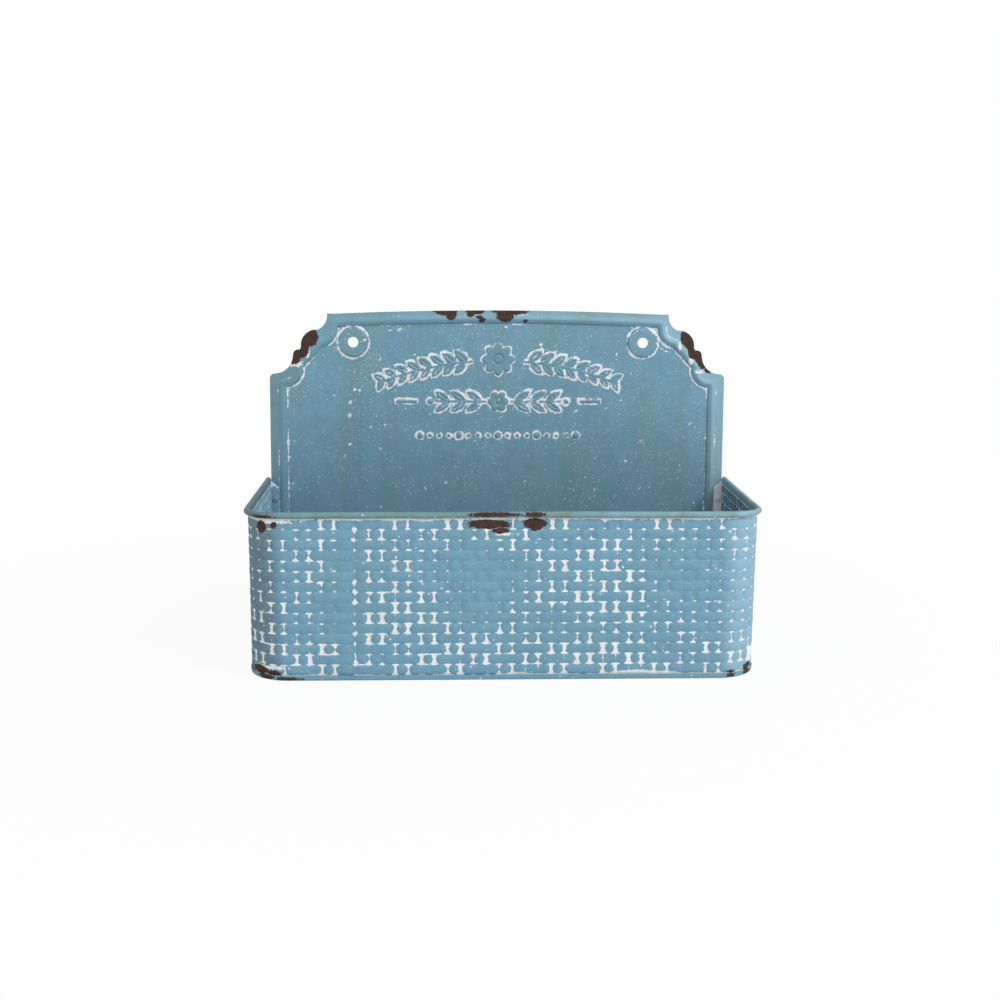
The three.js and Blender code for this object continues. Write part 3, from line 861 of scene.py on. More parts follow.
def mark_plate(bm, shape, step_loop):
    """Writes how far each point is from the bead's foot and from the edge of the field."""
    verts = bm.verts[:]
    x = np.array([v.co.x for v in verts])
    z = np.array([v.co.z for v in verts])
    from_step = distance_to(step_loop, x, z)
    within = inside_loop(step_loop, x, z)
    field = np.where(within, from_step, -from_step)
    a, b = Ornament.low, Ornament.high
    in_patch = (x > a.x) & (x < b.x) & (z > a.y) & (z < b.y)
    motif = np.array([v[bm.verts.layers.float["motif"]] for v in verts]) * MM
    motif = np.where(in_patch, motif, -FAR * MM)
    bead = np.abs(from_step - shape.plate.bead)
    for name, values in (("field", field), ("bead", bead), ("motif", motif)):
        store = bm.verts.layers.float[name]
        for v, value in zip(verts, (values / MM).tolist()):
            v[store] = value


# ---- rivets ----

HEAD_RISE = 1.1 * MM
HEAD_PROFILE = (0, 0), (0.5, 0.05), (0.8, 0.3), (0.95, 0.65), (1, 1)
SHANK = 1.3 * MM  # radius
TAIL, TAIL_RISE, TAIL_ROUND = 2.1 * MM, 0.8 * MM, 0.15 * MM  # radius, height and rounded edge
RIVET_STEPS = 24


def build_rivets():
    """Round-headed rivets through the flanges and the plate."""
    wall, _, _ = sizes()
    finish = flange_paint("Rivet paint")
    for node in sorted(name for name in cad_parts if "_rivet_" in name):
        low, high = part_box(node)
        near, far = low.y, high.y
        head = [(wall.rivet_head / 2 * r, near + HEAD_RISE * h) for r, h in HEAD_PROFILE]
        shank = [(SHANK, near + HEAD_RISE), (SHANK, far - TAIL_RISE)]
        tail = [
            (TAIL, far - TAIL_RISE), (TAIL, far - TAIL_ROUND), (TAIL - TAIL_ROUND, far), (0, far),
        ]
        bm = bmesh.new()
        spun(bm, (low.x + high.x) / 2, (low.z + high.z) / 2, head + shank + tail, RIVET_STEPS)
        weld(bm)
        piece = finished(bm, node + "_smooth", finish)
        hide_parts(node)


# ---- finishes ----

class Shade:
    """Adds nodes to one node tree."""

    def __init__(self, tree):
        self.tree = tree

    def add(self, kind, inputs=None, **settings):
        made = self.tree.nodes.new(kind)
        for name, value in settings.items():
            setattr(made, name, value)
        for key, value in (inputs or {}).items():
            if isinstance(value, bpy.types.NodeSocket):
                self.tree.links.new(value, made.inputs[key])
            else:
                made.inputs[key].default_value = value
        return made

    def math(self, operation, *values):
        return self.add("ShaderNodeMath", dict(enumerate(values)), operation=operation).outputs[0]

    def times(self, first, second):
        return self.math("MULTIPLY", first, second)

    def plus(self, first, second):
        return self.math("ADD", first, second)

    def minus(self, first, second):
        return self.math("SUBTRACT", first, second)

    def linear(self, value, slope, start):
        return self.math("MULTIPLY_ADD", value, slope, start)

    def span(self, value):
        return self.math("ABSOLUTE", value)

    def least(self, first, *others):
        for other in others:
            first = self.math("MINIMUM", first, other)
        return first

    def most(self, first, *others):
        for other in others:
            first = self.math("MAXIMUM", first, other)
        return first

    def mix(self, factor, first, second):
        rgba = [v if isinstance(v, bpy.types.NodeSocket) else (*v, 1)[:4] for v in (first, second)]
        made = self.add("ShaderNodeMix", {0: factor, 6: rgba[0], 7: rgba[1]}, data_type="RGBA")
        return made.outputs[2]

    def attribute(self, name):
        return self.add("ShaderNodeAttribute", attribute_name=name).outputs["Fac"]

    def place(self):
        return self.add("ShaderNodeTexCoord").outputs["Object"]

    def axes(self, place):
        return self.add("ShaderNodeSeparateXYZ", {0: place}).outputs

    def reach(self, place, centre, half):
        """Distance from a centre, 1 on the ellipsoid with these half sizes."""
        away = self.vector("DIVIDE", self.vector("SUBTRACT", place, centre), half)
        return self.add("ShaderNodeVectorMath", {0: away}, operation="LENGTH").outputs["Value"]

    def vector(self, operation, first, second):
        made = self.add("ShaderNodeVectorMath", {0: first, 1: second}, operation=operation)
        return made.outputs["Vector"]

    def noise(self, place, scale, detail):
        inputs = {"Vector": place, "Scale": scale, "Detail": detail, "Roughness": 0.6}
        return self.add("ShaderNodeTexNoise", inputs).outputs["Fac"]

    def ramp(self, value, low, high):
        """0 at low and 1 at high, straight between them."""
        return self.add("ShaderNodeMapRange", {"Value": value, 1: low, 2: high}).outputs[0]

    def curve(self, value, points):
        """A value bent through points, straight between them."""
        result = points[0][1]
        for (low, start), (high, end) in zip(points, points[1:]):
            step = self.add(
                "ShaderNodeMapRange", {"Value": value, 1: low, 2: high, 3: 0.0, 4: end - start}
            )
            result = self.plus(result, step.outputs[0])
        return result

    def group(self, tree, **inputs):
        """Adds a group by its tree. Gives its outputs."""
        made = self.tree.nodes.new("ShaderNodeGroup")
        made.node_tree = tree
        for name, value in inputs.items():
            if isinstance(value, bpy.types.NodeSocket):
                self.tree.links.new(value, made.inputs[name])
            else:
                made.inputs[name].default_value = value
        return made.outputs


def material(name):
    made = bpy.data.materials.new(name)
    made.use_nodes = True
    return made


def node_group(name, inputs, outputs, fill):
    """A node group with float or vector inputs. Built once, by fill(shade, sockets)."""
    group = bpy.data.node_groups.get(name)
    if group:
        return group
    group = bpy.data.node_groups.new(name, "ShaderNodeTree")
    kinds = {"vector": "NodeSocketVector", "value": "NodeSocketFloat", "colour": "NodeSocketColor"}
    for socket, kind in inputs.items():
        group.interface.new_socket(socket, in_out="INPUT", socket_type=kinds[kind])
    for socket, kind in outputs.items():
        group.interface.new_socket(socket, in_out="OUTPUT", socket_type=kinds[kind])
    shade = Shade(group)
    given = shade.add("NodeGroupInput").outputs
    results = fill(shade, given)
    shade.add("NodeGroupOutput", dict(zip(outputs, results)))
    return group


def ragged_edge():
    """Turns a distance from an edge into a mask with a worn outline: 1 where it is below 0."""
    def fill(shade, given):
        rough = shade.noise(given["Position"], 420, 4)
        fine = shade.noise(given["Position"], 1900, 2)
        both = shade.linear(fine, 0.35, rough)
        shift = shade.times(shade.minus(both, 0.675), given["Wear"])
        return [shade.ramp(shade.plus(given["Distance"], shift), 0.16, -0.16)]
    inputs = {"Distance": "value", "Wear": "value", "Position": "vector"}
    return node_group("Ragged edge", inputs, {"Mask": "value"}, fill)


def ragged(shade, place, distance, wear):
    """A mask inside an edge, given the distance from it in millimetres."""
    return shade.group(ragged_edge(), Position=place, Distance=distance, Wear=wear)["Mask"]


def fleck_marks():
    """Small specks, as a mask. Amount is the share of the cells that have one."""
    def fill(shade, given):
        place = shade.add("ShaderNodeVectorMath", {0: given["Position"]}, operation="SCALE")
        shade.tree.links.new(given["Scale"], place.inputs["Scale"])
        warp = shade.add("ShaderNodeTexNoise", {"Vector": place.outputs[0], "Scale": 2.0})
        moved = shade.add(
            "ShaderNodeVectorMath", {0: place.outputs[0], 1: warp.outputs["Color"]},
            operation="ADD",
        )
        cells = shade.add("ShaderNodeTexVoronoi", {"Vector": moved.outputs[0], "Scale": 1.0})
        luck = shade.add("ShaderNodeSeparateColor", {"Color": cells.outputs["Color"]})
        chosen = shade.minus(given["Amount"], luck.outputs[0])
        size = shade.linear(luck.outputs[1], 0.22, 0.16)
        near = shade.ramp(shade.minus(size, cells.outputs["Distance"]), 0, 0.12)
        return [shade.times(shade.ramp(chosen, 0, 0.03), near)]
    inputs = {"Position": "vector", "Scale": "value", "Amount": "value"}
    return node_group("Flecks", inputs, {"Mask": "value"}, fill)


def flecks(shade, place, scale, amount):
    return shade.group(fleck_marks(), Position=place, Scale=scale, Amount=amount)["Mask"]


def chip_distance():
    """Distance outside an ellipsoid, in millimetres along its upright half size."""
    def fill(shade, given):
        reach = shade.reach(given["Position"], given["Centre"], given["Half"])
        shortest = shade.times(shade.axes(given["Half"])[2], 1 / MM)
        return [shade.times(shade.minus(reach, 1), shortest)]
    inputs = {"Position": "vector", "Centre": "vector", "Half": "vector"}
    return node_group("Chip distance", inputs, {"Distance": "value"}, fill)


def weathered_paint():
    """The old blue paint: its tones, the white primer on it and the bare rusted tin, with painted
    light and painted shade in its colour.
    """
    tones = bpy.context.scene.planter_paint

    def fill(shade, given):
        place = given["Position"]
        broad = shade.ramp(shade.noise(place, 16, 3), 0.4, 0.68)
        mottle = shade.ramp(shade.noise(place, 75, 5), 0.38, 0.66)
        grain = shade.noise(place, 700, 3)
        colour = shade.mix(shade.times(broad, 0.4), tones.blue, tones.green)
        colour = shade.mix(shade.times(mottle, 0.42), colour, tones.deep)
        colour = shade.mix(shade.ramp(grain, 0.5, 1.1), colour, tones.pale)
        # Painted light: paler paint where the light falls on it.
        colour = shade.mix(given["Rubbed"], colour, tones.pale)
        colour = shade.mix(given["Green"], colour, tones.olive)
        # Grime and painted shade: greyer paint, for real dirt and for the shade that falls there.
        grime_and_shade = shade.times(given["Grime"], shade.ramp(grain, 0.15, 0.6))
        colour = shade.mix(grime_and_shade, colour, tones.grey)
        aged = shade.ramp(shade.noise(place, 90, 2), 0.45, 0.75)
        primer = shade.mix(aged, tones.white, tones.cream)
        colour = shade.mix(given["Primer"], colour, primer)
        pits = shade.ramp(shade.noise(place, 900, 4), 0.42, 0.6)
        rust = shade.mix(pits, tones.rust, tones.dark_rust)
        warm = shade.ramp(shade.noise(place, 260, 3), 0.52, 0.66)
        rust = shade.mix(shade.times(warm, 0.35), rust, tones.red_rust)
        colour = shade.mix(given["Bare"], colour, rust)
        worn = shade.most(given["Primer"], given["Grime"])
        rough = shade.linear(mottle, 0.12, 0.46)
        rough = shade.linear(worn, 0.25, rough)
        rough = shade.most(rough, shade.times(given["Bare"], 0.8))
        flaked = shade.times(given["Primer"], 0.35)
        flaked = shade.most(given["Bare"], flaked)
        tall = shade.linear(grain, 0.12, shade.minus(1, flaked))
        tall = shade.linear(shade.times(pits, given["Bare"]), -0.4, tall)
        return [colour, rough, tall]

    masks = ("Rubbed", "Green", "Grime", "Primer", "Bare")
    inputs = {"Position": "vector", **dict.fromkeys(masks, "value")}
    outputs = {"Color": "colour", "Roughness": "value", "Height": "value"}
    return node_group("Weathered paint", inputs, outputs, fill)


def painted(made, shade, place, **masks):
    """Joins the weathered paint, with its masks, to a material's surface."""
    surface = made.node_tree.nodes["Principled BSDF"]
    finish = shade.group(weathered_paint(), Position=place, **masks)
    links = made.node_tree.links
    links.new(finish["Color"], surface.inputs["Base Color"])
    links.new(finish["Roughness"], surface.inputs["Roughness"])
    bump = shade.add(
        "ShaderNodeBump", {"Height": finish["Height"], "Strength": 0.5, "Distance": 0.15 * MM}
    )
    links.new(bump.outputs[0], surface.inputs["Normal"])
    surface.inputs["Specular IOR Level"].default_value = 0.4
    return made


def in_metres(values):
    return [value * MM for value in values]


def chipped(shade, place, chips, wear):
    """A mask over all the chips of a piece."""
    distance = FAR
    for centre, half in chips:
        chip = shade.group(
            chip_distance(), Position=place, Centre=in_metres(centre), Half=in_metres(half)
        )
        distance = shade.least(distance, chip["Distance"])
    return ragged(shade, place, distance, wear)


# Places worn to the rusted tin, in millimetres: the centre and the half sizes in x, y and z.
WALL_CHIPS = (
    ((-12, -76, 117.2), (16.2, 4, 3.6)),
    ((-3.4, -76, 112.6), (6, 4, 2.3)),
    ((21.8, -76, 117.8), (9.2, 4, 4.2)),
    ((22.4, -76, 113.8), (3.6, 4, 1.8)),
    ((-8.4, -78.5, 125), (19.5, 3.2, 2.1)),
    ((21.5, -78.5, 125), (8.5, 3.2, 2.1)),
    ((-177.5, -71, 115.6), (3.6, 6, 5.2)),
    ((-168.6, -75, 117), (2.4, 4, 2.4)),
    ((-180, -76, 123.6), (12, 6, 1.2)),
    ((-181, -66, 7), (9, 8, 3.2)),
    ((-170, -74, 5.5), (6, 6, 2)),
    ((184, -66, 6), (5, 9, 3.4)),
    ((170, -76, 5), (4.4, 4, 2)),
)
PAN_CHIPS = (
    ((-177, -72, 2.6), (7, 8, 2)),
    ((-161, -78, 2), (13, 5, 1.4)),
    ((170, -78, 2), (4.6, 6, 2.6)),
    ((184.5, -66, 2), (5, 6, 2.6)),
    ((60, -58, 1), (7, 4, 3)),
    ((-96, 22, 1), (12, 7, 3)),
    ((-78, 30, 1), (5, 4, 3)),
)
PLATE_CHIPS = (
    ((-44, 75, 265.4), (10.5, 4, 4.6)),
    ((-39, 75, 261), (4.5, 4, 4)),
    ((-19.5, 75, 265), (8.5, 4, 3.4)),
    ((-23, 75, 263), (3.6, 4, 3.4)),
    ((-15.5, 75, 259.8), (3.2, 4, 1.6)),
    ((-13.5, 75, 257), (2.6, 4, 2.2)),
    ((9, 75, 265.6), (16.5, 4, 4.4)),
    ((5.5, 75, 260.5), (7.5, 4, 5)),
    ((22, 75, 256.5), (2.2, 4, 1.8)),
    ((-155.5, 75, 243), (8, 5, 8)),
    ((-162.5, 75, 233.5), (7, 5, 8)),
    ((-168, 75, 225.5), (5.5, 5, 5)),
    ((156.5, 75, 243.5), (6, 5, 8)),
    ((160, 75, 238), (6, 5, 6)),
    ((163.5, 75, 232), (6.4, 5, 7.5)),
    ((167, 75, 227), (5, 5, 5)),
    ((170, 75, 222.5), (4.6, 5, 5)),
    ((174.5, 75, 216), (3.4, 5, 2.2)),
)
# Bare primer beside some of those places.
PLATE_PRIMER = (
    ((-166.5, 75, 221), (5.5, 4, 2.6)),
    ((-157, 75, 231), (2, 4, 5.5)),
    ((160, 75, 225), (2, 4, 4.5)),
    ((168, 75, 215), (5, 4, 1.4)),
    ((150.5, 75, 236), (1.4, 4, 3)),
)
WALL_PRIMER = (
    ((-10, -76, 121.6), (26, 3, 0.9)),
    ((0.5, -76, 110), (7, 3, 1.2)),
    ((-172, -76, 119.5), (12, 6, 1.6)),
    ((-172, -70, 9.5), (14, 14, 1.4)),
    ((187, -62, 15), (5, 9, 6)),
)
# Places where the primer shows less or more than elsewhere on the weave.
FADED = (
    ((-20, -76, 76), (34, 20, 30)),
    ((134, -76, 82), (34, 20, 26)),
    ((-122, -76, 70), (16, 20, 34)),
)
BRIGHT = (
    ((-20, -76, 8), (175, 60, 24)),
    ((-20, -76, 121), (160, 20, 6)),
    ((-74, -76, 60), (22, 20, 34)),
    ((74, -76, 70), (30, 20, 24)),
    ((-177, -70, 38), (16, 30, 32)),
)


def soft_patch(shade, place, spots):
    """A soft mask, 1 inside the given places and falling to 0 outside them."""
    share = 0.0
    for centre, half in spots:
        reach = shade.reach(place, in_metres(centre), in_metres(half))
        share = shade.most(share, shade.ramp(reach, 1.35, 0.65))
    return share


# Half the width of a mark, against the height above the groove at its end, in millimetres.
MARK_SHAPE = (-0.7, -1.2), (-0.25, 1.9), (0.4, 2.6), (0.95, 1.3), (1.8, 0.65), (3.9, 0.2)


def weave_residue(shade, place):
    """Primer left in the sunk strips of the weave and along its grooves, as a mask."""
    aside, edge = shade.attribute("aside"), shade.attribute("from_edge")
    stake, luck = shade.attribute("stake"), shade.attribute("luck")
    weave = bpy.context.scene.planter_weave
    strip = (weave.stake + weave.gap) / 2 / MM
    height = shade.times(shade.linear(stake, 2, -1), edge)
    wide = shade.curve(height, MARK_SHAPE)
    from_mark = shade.minus(shade.span(shade.minus(aside, strip)), wide)
    patchy = shade.noise(place, 30, 2)
    own = shade.noise(place, 115, 2)
    bright = soft_patch(shade, place, BRIGHT)
    faded = soft_patch(shade, place, FADED)
    keep = shade.linear(faded, -1.7, -0.3)
    keep = shade.linear(bright, 1.2, keep)
    for source, share in ((luck, 1.5), (patchy, 6), (own, 5)):
        keep = shade.linear(shade.minus(source, 0.5), share, keep)
    keep = shade.curve(keep, ((-4, -4), (0.6, 0.6), (3, 1.5)))
    marks = ragged(shade, place, shade.minus(from_mark, keep), 3.6)
    stretch = shade.linear(shade.noise(place, 80, 1), 7, -5.4)
    lines_left = shade.linear(bright, 1.1, stretch)
    lines = ragged(shade, place, shade.minus(shade.minus(edge, 0.25), lines_left), 1.6)
    lines = shade.times(lines, shade.ramp(edge, 0.75, 0.45))
    seam_edge = shade.linear(edge, 0.7, shade.attribute("from_seam"))
    seam_edge = shade.linear(shade.minus(own, 0.5), -9, seam_edge)
    seam = ragged(shade, place, shade.minus(seam_edge, 1.5), 3.4)
    seam = shade.times(seam, shade.ramp(shade.attribute("from_seam"), 3.4, 2.6))
    return shade.most(marks, lines, seam)


def pan_drop():
    """From the top of the weave down to just above the lip of the pan."""
    wall, weave, _ = sizes()
    return wrap_high.z - wall.curl_radius - lip_high.z - weave.top_margin - 0.4 * MM


def woven_paint():
    made = material("Woven wall paint")
    shade = Shade(made.node_tree)
    place = shade.place()
    drop, inside = shade.attribute("rim_drop"), shade.attribute("inside")
    on_wall = shade.ramp(drop, -0.4, -0.2)
    swell = shade.linear(shade.noise(place, 26, 3), 6, -2.3)
    from_rim = shade.minus(shade.span(drop), swell)
    under_rim = ragged(shade, place, from_rim, 3)
    from_pan = shade.minus(pan_drop() / MM, drop)
    swell = shade.linear(shade.noise(place, 14, 2), 16, -8.2)
    from_pan = shade.minus(from_pan, swell)
    over_pan = ragged(shade, place, from_pan, 2.2)
    specks = flecks(shade, place, 420, 0.05)
    residue = shade.most(weave_residue(shade, place), under_rim, over_pan)
    primer = shade.most(shade.times(residue, on_wall), specks)
    bare = chipped(shade, place, WALL_CHIPS, 3.2)
    primer = shade.most(primer, chipped(shade, place, WALL_PRIMER, 4.5))
    rim = shade.ramp(drop, -0.5, -0.9)
    bare = shade.times(bare, shade.most(shade.ramp(inside, 0.6, 0.4), rim))
    olive = shade.times(rim, shade.ramp(shade.noise(place, 60, 4), 0.3, 0.7))
    # Painted shade: the grooves of the weave are darkened a little.
    grooves = shade.ramp(shade.attribute("relief"), 0.5, 0.0)
    corner = shade.axes(place)[0]
    left = shade.ramp(corner, -161 * MM, -171 * MM)
    right = shade.ramp(corner, 158 * MM, 172 * MM)
    inner = shade.times(shade.minus(1, rim), shade.ramp(inside, 0.4, 0.6))
    outer = shade.minus(1, inner)
    right_rim = shade.times(rim, shade.ramp(corner, -20 * MM, 120 * MM))

    def both(first, second, amount):
        return shade.times(shade.times(first, second), amount)

    # Painted shade on the outside of the left corner and side wall with its rim, and on the inner
    # face of the right wall; painted light on the outside of the right corner and side wall, on the
    # inner face of the left wall and on the rim towards the right.
    return painted(
        made, shade, place, Primer=primer, Bare=bare, Green=olive,
        Grime=shade.most(
            both(grooves, on_wall, 0.12), both(left, outer, 0.75), both(right, inner, 0.8)
        ),
        Rubbed=shade.most(both(right, outer, 0.6), both(left, inner, 0.9), both(right_rim, 1, 0.7)),
    )


def plate_lines(shade, place, shape):
    """Primer left along the field's edge, the bead, the pads and the ornament, as a mask."""
    plate = shape.plate
    field, bead, motif = (shade.attribute(name) for name in ("field", "bead", "motif"))
    x, _, z = shade.axes(place)
    across = shade.minus(shade.span(x), shape.pad_x)
    above = shade.minus(z, shape.pad_z)
    square = shade.linear(across, across, shade.times(above, above))
    from_pad = shade.minus(shade.math("SQRT", square), plate.pad / 2)
    from_pad = shade.span(shade.linear(from_pad, 1 / MM, -0.9))
    swell = shade.linear(shade.noise(place, 120, 2), 4, -1.3)
    pad_ring = shade.minus(from_pad, swell)
    patchy = shade.linear(shade.noise(place, 34, 3), 5.0, -2.9)
    corner = shade.ramp(shade.span(x), 110 * MM, 160 * MM)
    near_corner = shade.times(corner, shade.ramp(z, 130 * MM, 215 * MM))
    line = shade.span(shade.minus(field, plate.step / MM + 0.5))
    line = shade.minus(line, shade.linear(near_corner, 0.9, patchy))
    bead_line = shade.minus(bead, shade.plus(patchy, 0.1))
    around = shade.span(shade.plus(motif, 1.0))
    around = shade.minus(around, shade.linear(patchy, 0.35, 0.85))
    blotch = shade.linear(shade.noise(place, 150, 3), 4, -2)
    nearest = shade.minus(around, blotch)
    nearest = shade.least(nearest, line, bead_line, pad_ring)
    off_motif = shade.most(nearest, shade.plus(motif, 0.1))
    return ragged(shade, place, off_motif, 3.2)


def plate_specks(shade, place):
    """Fine and larger flecks over the field, thicker round the ornament, as a mask."""
    motif = shade.attribute("motif")
    crowd = shade.ramp(shade.noise(place, 42, 3), 0.42, 0.66)
    crowd = shade.linear(crowd, 0.5, 0.08)
    crowd = shade.linear(shade.ramp(motif, -8, -1), 0.2, crowd)
    crowd = shade.times(crowd, shade.ramp(motif, 0.4, -0.4))
    few = shade.times(crowd, 0.25)
    fine = flecks(shade, place, 620, crowd)
    large = flecks(shade, place, 240, few)
    specks = shade.most(shade.times(fine, 0.75), large)
    return shade.times(specks, shade.ramp(shade.attribute("field"), 0.5, 2))


def plate_paint(shape):
    made = material("Plate paint")
    shade = Shade(made.node_tree)
    place = shade.place()
    x, _, z = shade.axes(place)
    drawn = plate_lines(shade, place, shape)
    drawn = shade.times(drawn, shade.ramp(shade.attribute("inside"), 0.6, 0.4))
    primer = shade.most(
        drawn, plate_specks(shade, place), chipped(shade, place, PLATE_PRIMER, 5)
    )
    streaks = shade.add("ShaderNodeMapping", {"Vector": place, "Scale": (1, 1, 0.16)}).outputs[0]
    green = shade.times(shade.ramp(shade.noise(streaks, 42, 4), 0.46, 0.78), 0.4)
    top_green = shade.times(shade.ramp(z, 252 * MM, 260 * MM), 0.6)
    top_green = shade.times(top_green, shade.ramp(shade.noise(place, 22, 2), 0.4, 0.7))
    # Painted shade: the plate darkens towards its foot, in the trough behind the walls.
    painted_shade_low = shade.times(shade.ramp(z, 190 * MM, 90 * MM), 0.30)
    # Painted light on the border, paler towards the right; painted shade on the border at the far
    # left.
    border = shade.ramp(shade.attribute("field"), -1.2, -3)
    paler = shade.linear(shade.ramp(x, -120 * MM, 60 * MM), 0.55, 0.15)
    painted_shade_left = shade.times(border, shade.ramp(x, -150 * MM, -170 * MM))
    return painted(
        made, shade, place, Primer=primer, Bare=chipped(shade, place, PLATE_CHIPS, 4.2),
        Green=shade.most(green, top_green),
        Grime=shade.most(painted_shade_low, shade.times(painted_shade_left, 0.4)),
        Rubbed=shade.times(border, paler),
    )


def pan_paint():
    """Weathered paint of the pan, with painted shade that makes it darkest along the edge it stands
    on.
    """
    made = material("Pan paint")
    shade = Shade(made.node_tree)
    place = shade.place()
    height = shade.axes(place)[2]
    # Painted shade along the bottom edge, where the pan turns under.
    edge = shade.times(shade.ramp(height, 1.0 * MM, 0.3 * MM), 0.8)
    worn = shade.times(shade.ramp(shade.noise(place, 300, 3), 0.5, 0.75), 0.3)
    specks = flecks(shade, place, 420, 0.06)
    return painted(
        made, shade, place, Primer=specks, Bare=chipped(shade, place, PAN_CHIPS, 3.4),
        Grime=shade.most(edge, worn),
    )


def flange_paint(name):
    """Paint worn to the primer at the cut top of the flanges, and all over on the right."""
    made = material(name)
    shade = Shade(made.node_tree)
    place = shade.place()
    x, _, z = shade.axes(place)
    wall, _, _ = sizes()
    top = wrap_high.z - wall.curl_radius - wall.sheet - wall.flange_drop
    drop = shade.times(shade.minus(top, z), 1 / MM)
    right = shade.ramp(x, -10 * MM, 10 * MM)
    worn_top = shade.minus(drop, shade.linear(right, 34, -1.0))
    mask = ragged(shade, place, worn_top, 9)
    specks = flecks(shade, place, 420, 0.2)
    grime = shade.ramp(shade.noise(place, 260, 4), 0.42, 0.7)
    primer = shade.most(mask, specks)
    return painted(made, shade, place, Primer=primer, Grime=shade.times(grime, 0.5))


def wire_metal():
    """Old galvanised wire, seen at the ends of the rolled rim."""
    tones = bpy.context.scene.planter_paint
    made = material("Rim wire")
    shade = Shade(made.node_tree)
    place = shade.place()
    worn = shade.ramp(shade.noise(place, 500, 4), 0.35, 0.7)
    surface = made.node_tree.nodes["Principled BSDF"]
    made.node_tree.links.new(
        shade.mix(worn, tones.steel, tones.dark_rust), surface.inputs["Base Color"]
    )
    rough = shade.linear(worn, 0.35, 0.4)
    made.node_tree.links.new(rough, surface.inputs["Roughness"])
    surface.inputs["Metallic"].default_value = 0.8
    return made


# ---- the stage ----

FLOOR_HALF = 6
FLOOR_TONE = (0.9, 0.9, 0.9, 1)
WHITE = (1, 1, 1, 1)
CLEAR_NEAR, CLEAR_FAR = 0.3, 0.8  # where the floor begins to look white, and where it is
CLEAR_SHARE = 0.92  # how white it looks up to there
SKY_LIGHT = 0.52
LIGHTS = (  # place, size and power
    ("key", (1.6, -1.4, 1.8), 0.9, 38),
    ("fill", (-0.9, -1.8, 0.9), 1.2, 4),
)
LIT = Vector((0, 0, 0.12))  # where they point
LENS = 1.4333  # focal length over the width of the picture
SHIFT = 0.0008, -0.0776
EYE = Vector((-44.5, -1102.9, 326.8)) * MM
YAW, PITCH, ROLL = 0.0385, 0.13, 0.0054


def build_floor():
    """A pale floor that looks white away from the planter's shadow."""
    bm = bmesh.new()
    bmesh.ops.create_grid(bm, x_segments=1, y_segments=1, size=FLOOR_HALF)
    mesh = bpy.data.meshes.new("floor")
    bm.to_mesh(mesh)
    bm.free()
    floor = bpy.data.objects.new("floor", mesh)
    bpy.context.scene.collection.objects.link(floor)
    ground = material("Pale floor")
    shade = Shade(ground.node_tree)
    surface = ground.node_tree.nodes["Principled BSDF"]
    surface.inputs["Base Color"].default_value = FLOOR_TONE
    surface.inputs["Roughness"].default_value = 1
    surface.inputs["Specular IOR Level"].default_value = 0
    glow = shade.add("ShaderNodeEmission", {"Color": WHITE, "Strength": 1})
    path = shade.add("ShaderNodeLightPath")
    away = shade.add("ShaderNodeVectorMath", {0: shade.place()}, operation="LENGTH")
    clear = shade.add("ShaderNodeMapRange", {
        "Value": away.outputs["Value"], 1: CLEAR_NEAR, 2: CLEAR_FAR, 3: CLEAR_SHARE, 4: 1
    })
    seen = shade.times(path.outputs["Is Camera Ray"], clear.outputs[0])
    both = shade.add("ShaderNodeMixShader", {0: seen, 1: surface.outputs[0], 2: glow.outputs[0]})
    output = ground.node_tree.nodes["Material Output"]
    ground.node_tree.links.new(both.outputs[0], output.inputs["Surface"])
    mesh.materials.append(ground)


def build_light():
    """White surroundings and two soft lamps."""
    scene = bpy.context.scene
    world = bpy.data.worlds.new("Studio")
    scene.world = world
    world.use_nodes = True
    shade = Shade(world.node_tree)
    sky = world.node_tree.nodes["Background"]
    sky.inputs["Color"].default_value = WHITE
    path = shade.add("ShaderNodeLightPath").outputs
    seen = shade.most(
        path["Is Camera Ray"], path["Is Glossy Ray"], path["Is Transmission Ray"]
    )
    strength = shade.add("ShaderNodeMapRange", {"Value": seen, 3: SKY_LIGHT, 4: 1.0}).outputs[0]
    world.node_tree.links.new(strength, sky.inputs["Strength"])
    for name, place, size, power in LIGHTS:
        light = bpy.data.lights.new(name, "AREA")
        light.size = size
        light.energy = power
        lamp = bpy.data.objects.new(name, light)
        lamp.location = place
        lamp.rotation_mode = "QUATERNION"
        lamp.rotation_quaternion = (LIT - Vector(place)).to_track_quat("-Z", "Y")
        scene.collection.objects.link(lamp)


def build_camera():
    scene = bpy.context.scene
    lens = bpy.data.cameras.new("camera")
    lens.lens = lens.sensor_width * LENS
    lens.shift_x, lens.shift_y = SHIFT
    camera = bpy.data.objects.new("camera", lens)
    scene.collection.objects.link(camera)
    forward = Vector((math.sin(YAW) * math.cos(PITCH), math.cos(YAW) * math.cos(PITCH), 0))
    forward.z = -math.sin(PITCH)
    right = Vector((math.cos(YAW), -math.sin(YAW), 0))
    up = right.cross(forward)
    across = math.cos(ROLL) * right + math.sin(ROLL) * up
    above = -math.sin(ROLL) * right + math.cos(ROLL) * up
    turned = Matrix((across, above, -forward)).transposed().to_4x4()
    camera.matrix_world = Matrix.Translation(EYE) @ turned
    scene.camera = camera


# ---- the add-on ----

class PLANTER_OT_walls(bpy.types.Operator):
    """Build the woven walls and their rear flanges"""

    bl_idname = "planter.walls"
    bl_label = "Woven walls"

    def execute(self, context):
        build_wrap()
        build_flanges()
        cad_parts["rim_wire"].material_slots[0].material = wire_metal()
        return {"FINISHED"}


class PLANTER_OT_pan(bpy.types.Operator):
    """Build the base pan"""

    bl_idname = "planter.pan"
    bl_label = "Base pan"

    def execute(self, context):
        build_pan()
        return {"FINISHED"}


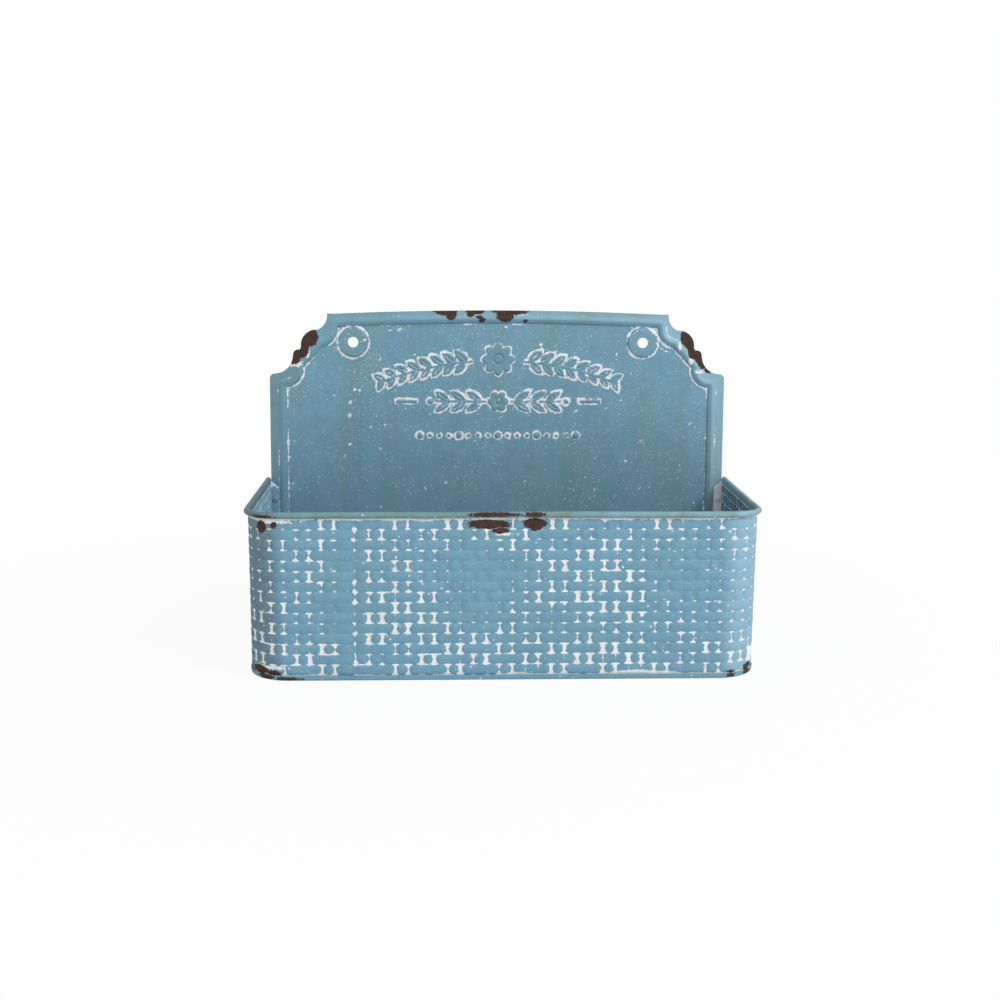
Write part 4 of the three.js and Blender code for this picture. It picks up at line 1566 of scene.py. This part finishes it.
class PLANTER_OT_plate(bpy.types.Operator):
    """Build the embossed back plate"""

    bl_idname = "planter.plate"
    bl_label = "Back plate"

    def execute(self, context):
        build_plate()
        return {"FINISHED"}


class PLANTER_OT_rivets(bpy.types.Operator):
    """Build the rivets"""

    bl_idname = "planter.rivets"
    bl_label = "Rivets"

    def execute(self, context):
        build_rivets()
        return {"FINISHED"}


class PLANTER_OT_stage(bpy.types.Operator):
    """Set the floor, the lights and the camera"""

    bl_idname = "planter.stage"
    bl_label = "Floor, lights and camera"

    def execute(self, context):
        context.scene.view_settings.view_transform = "Standard"
        build_floor()
        build_light()
        build_camera()
        return {"FINISHED"}


class PLANTER_PT_panel(bpy.types.Panel):
    """Sizes, colours and build steps of the planter"""

    bl_idname = "PLANTER_PT_panel"
    bl_label = "Tin wall planter"
    bl_space_type = "VIEW_3D"
    bl_region_type = "UI"
    bl_category = "Planter"

    def draw(self, context):
        for operator in OPERATORS:
            self.layout.operator(operator.bl_idname)
        for group in PROPERTIES:
            values = getattr(context.scene, group)
            for name in values.bl_rna.properties.keys():
                if name not in ("rna_type", "name"):
                    self.layout.prop(values, name)


OPERATORS = (
    PLANTER_OT_walls, PLANTER_OT_pan, PLANTER_OT_plate, PLANTER_OT_rivets, PLANTER_OT_stage,
)
PROPERTIES = {
    "planter_wall": WallSizes,
    "planter_weave": WeaveSizes,
    "planter_plate": PlateSizes,
    "planter_paint": PaintTones,
}
CLASSES = (*PROPERTIES.values(), *OPERATORS, PLANTER_PT_panel)


def register():
    for cls in CLASSES:
        bpy.utils.register_class(cls)
    for name, group in PROPERTIES.items():
        setattr(bpy.types.Scene, name, PointerProperty(type=group))


def unregister():
    for name in PROPERTIES:
        delattr(bpy.types.Scene, name)
    for cls in reversed(CLASSES):
        bpy.utils.unregister_class(cls)


def main():
    register()
    bpy.ops.planter.walls()
    bpy.ops.planter.pan()
    bpy.ops.planter.plate()
    bpy.ops.planter.rivets()
    bpy.ops.planter.stage()


if __name__ == "__main__":
    main()
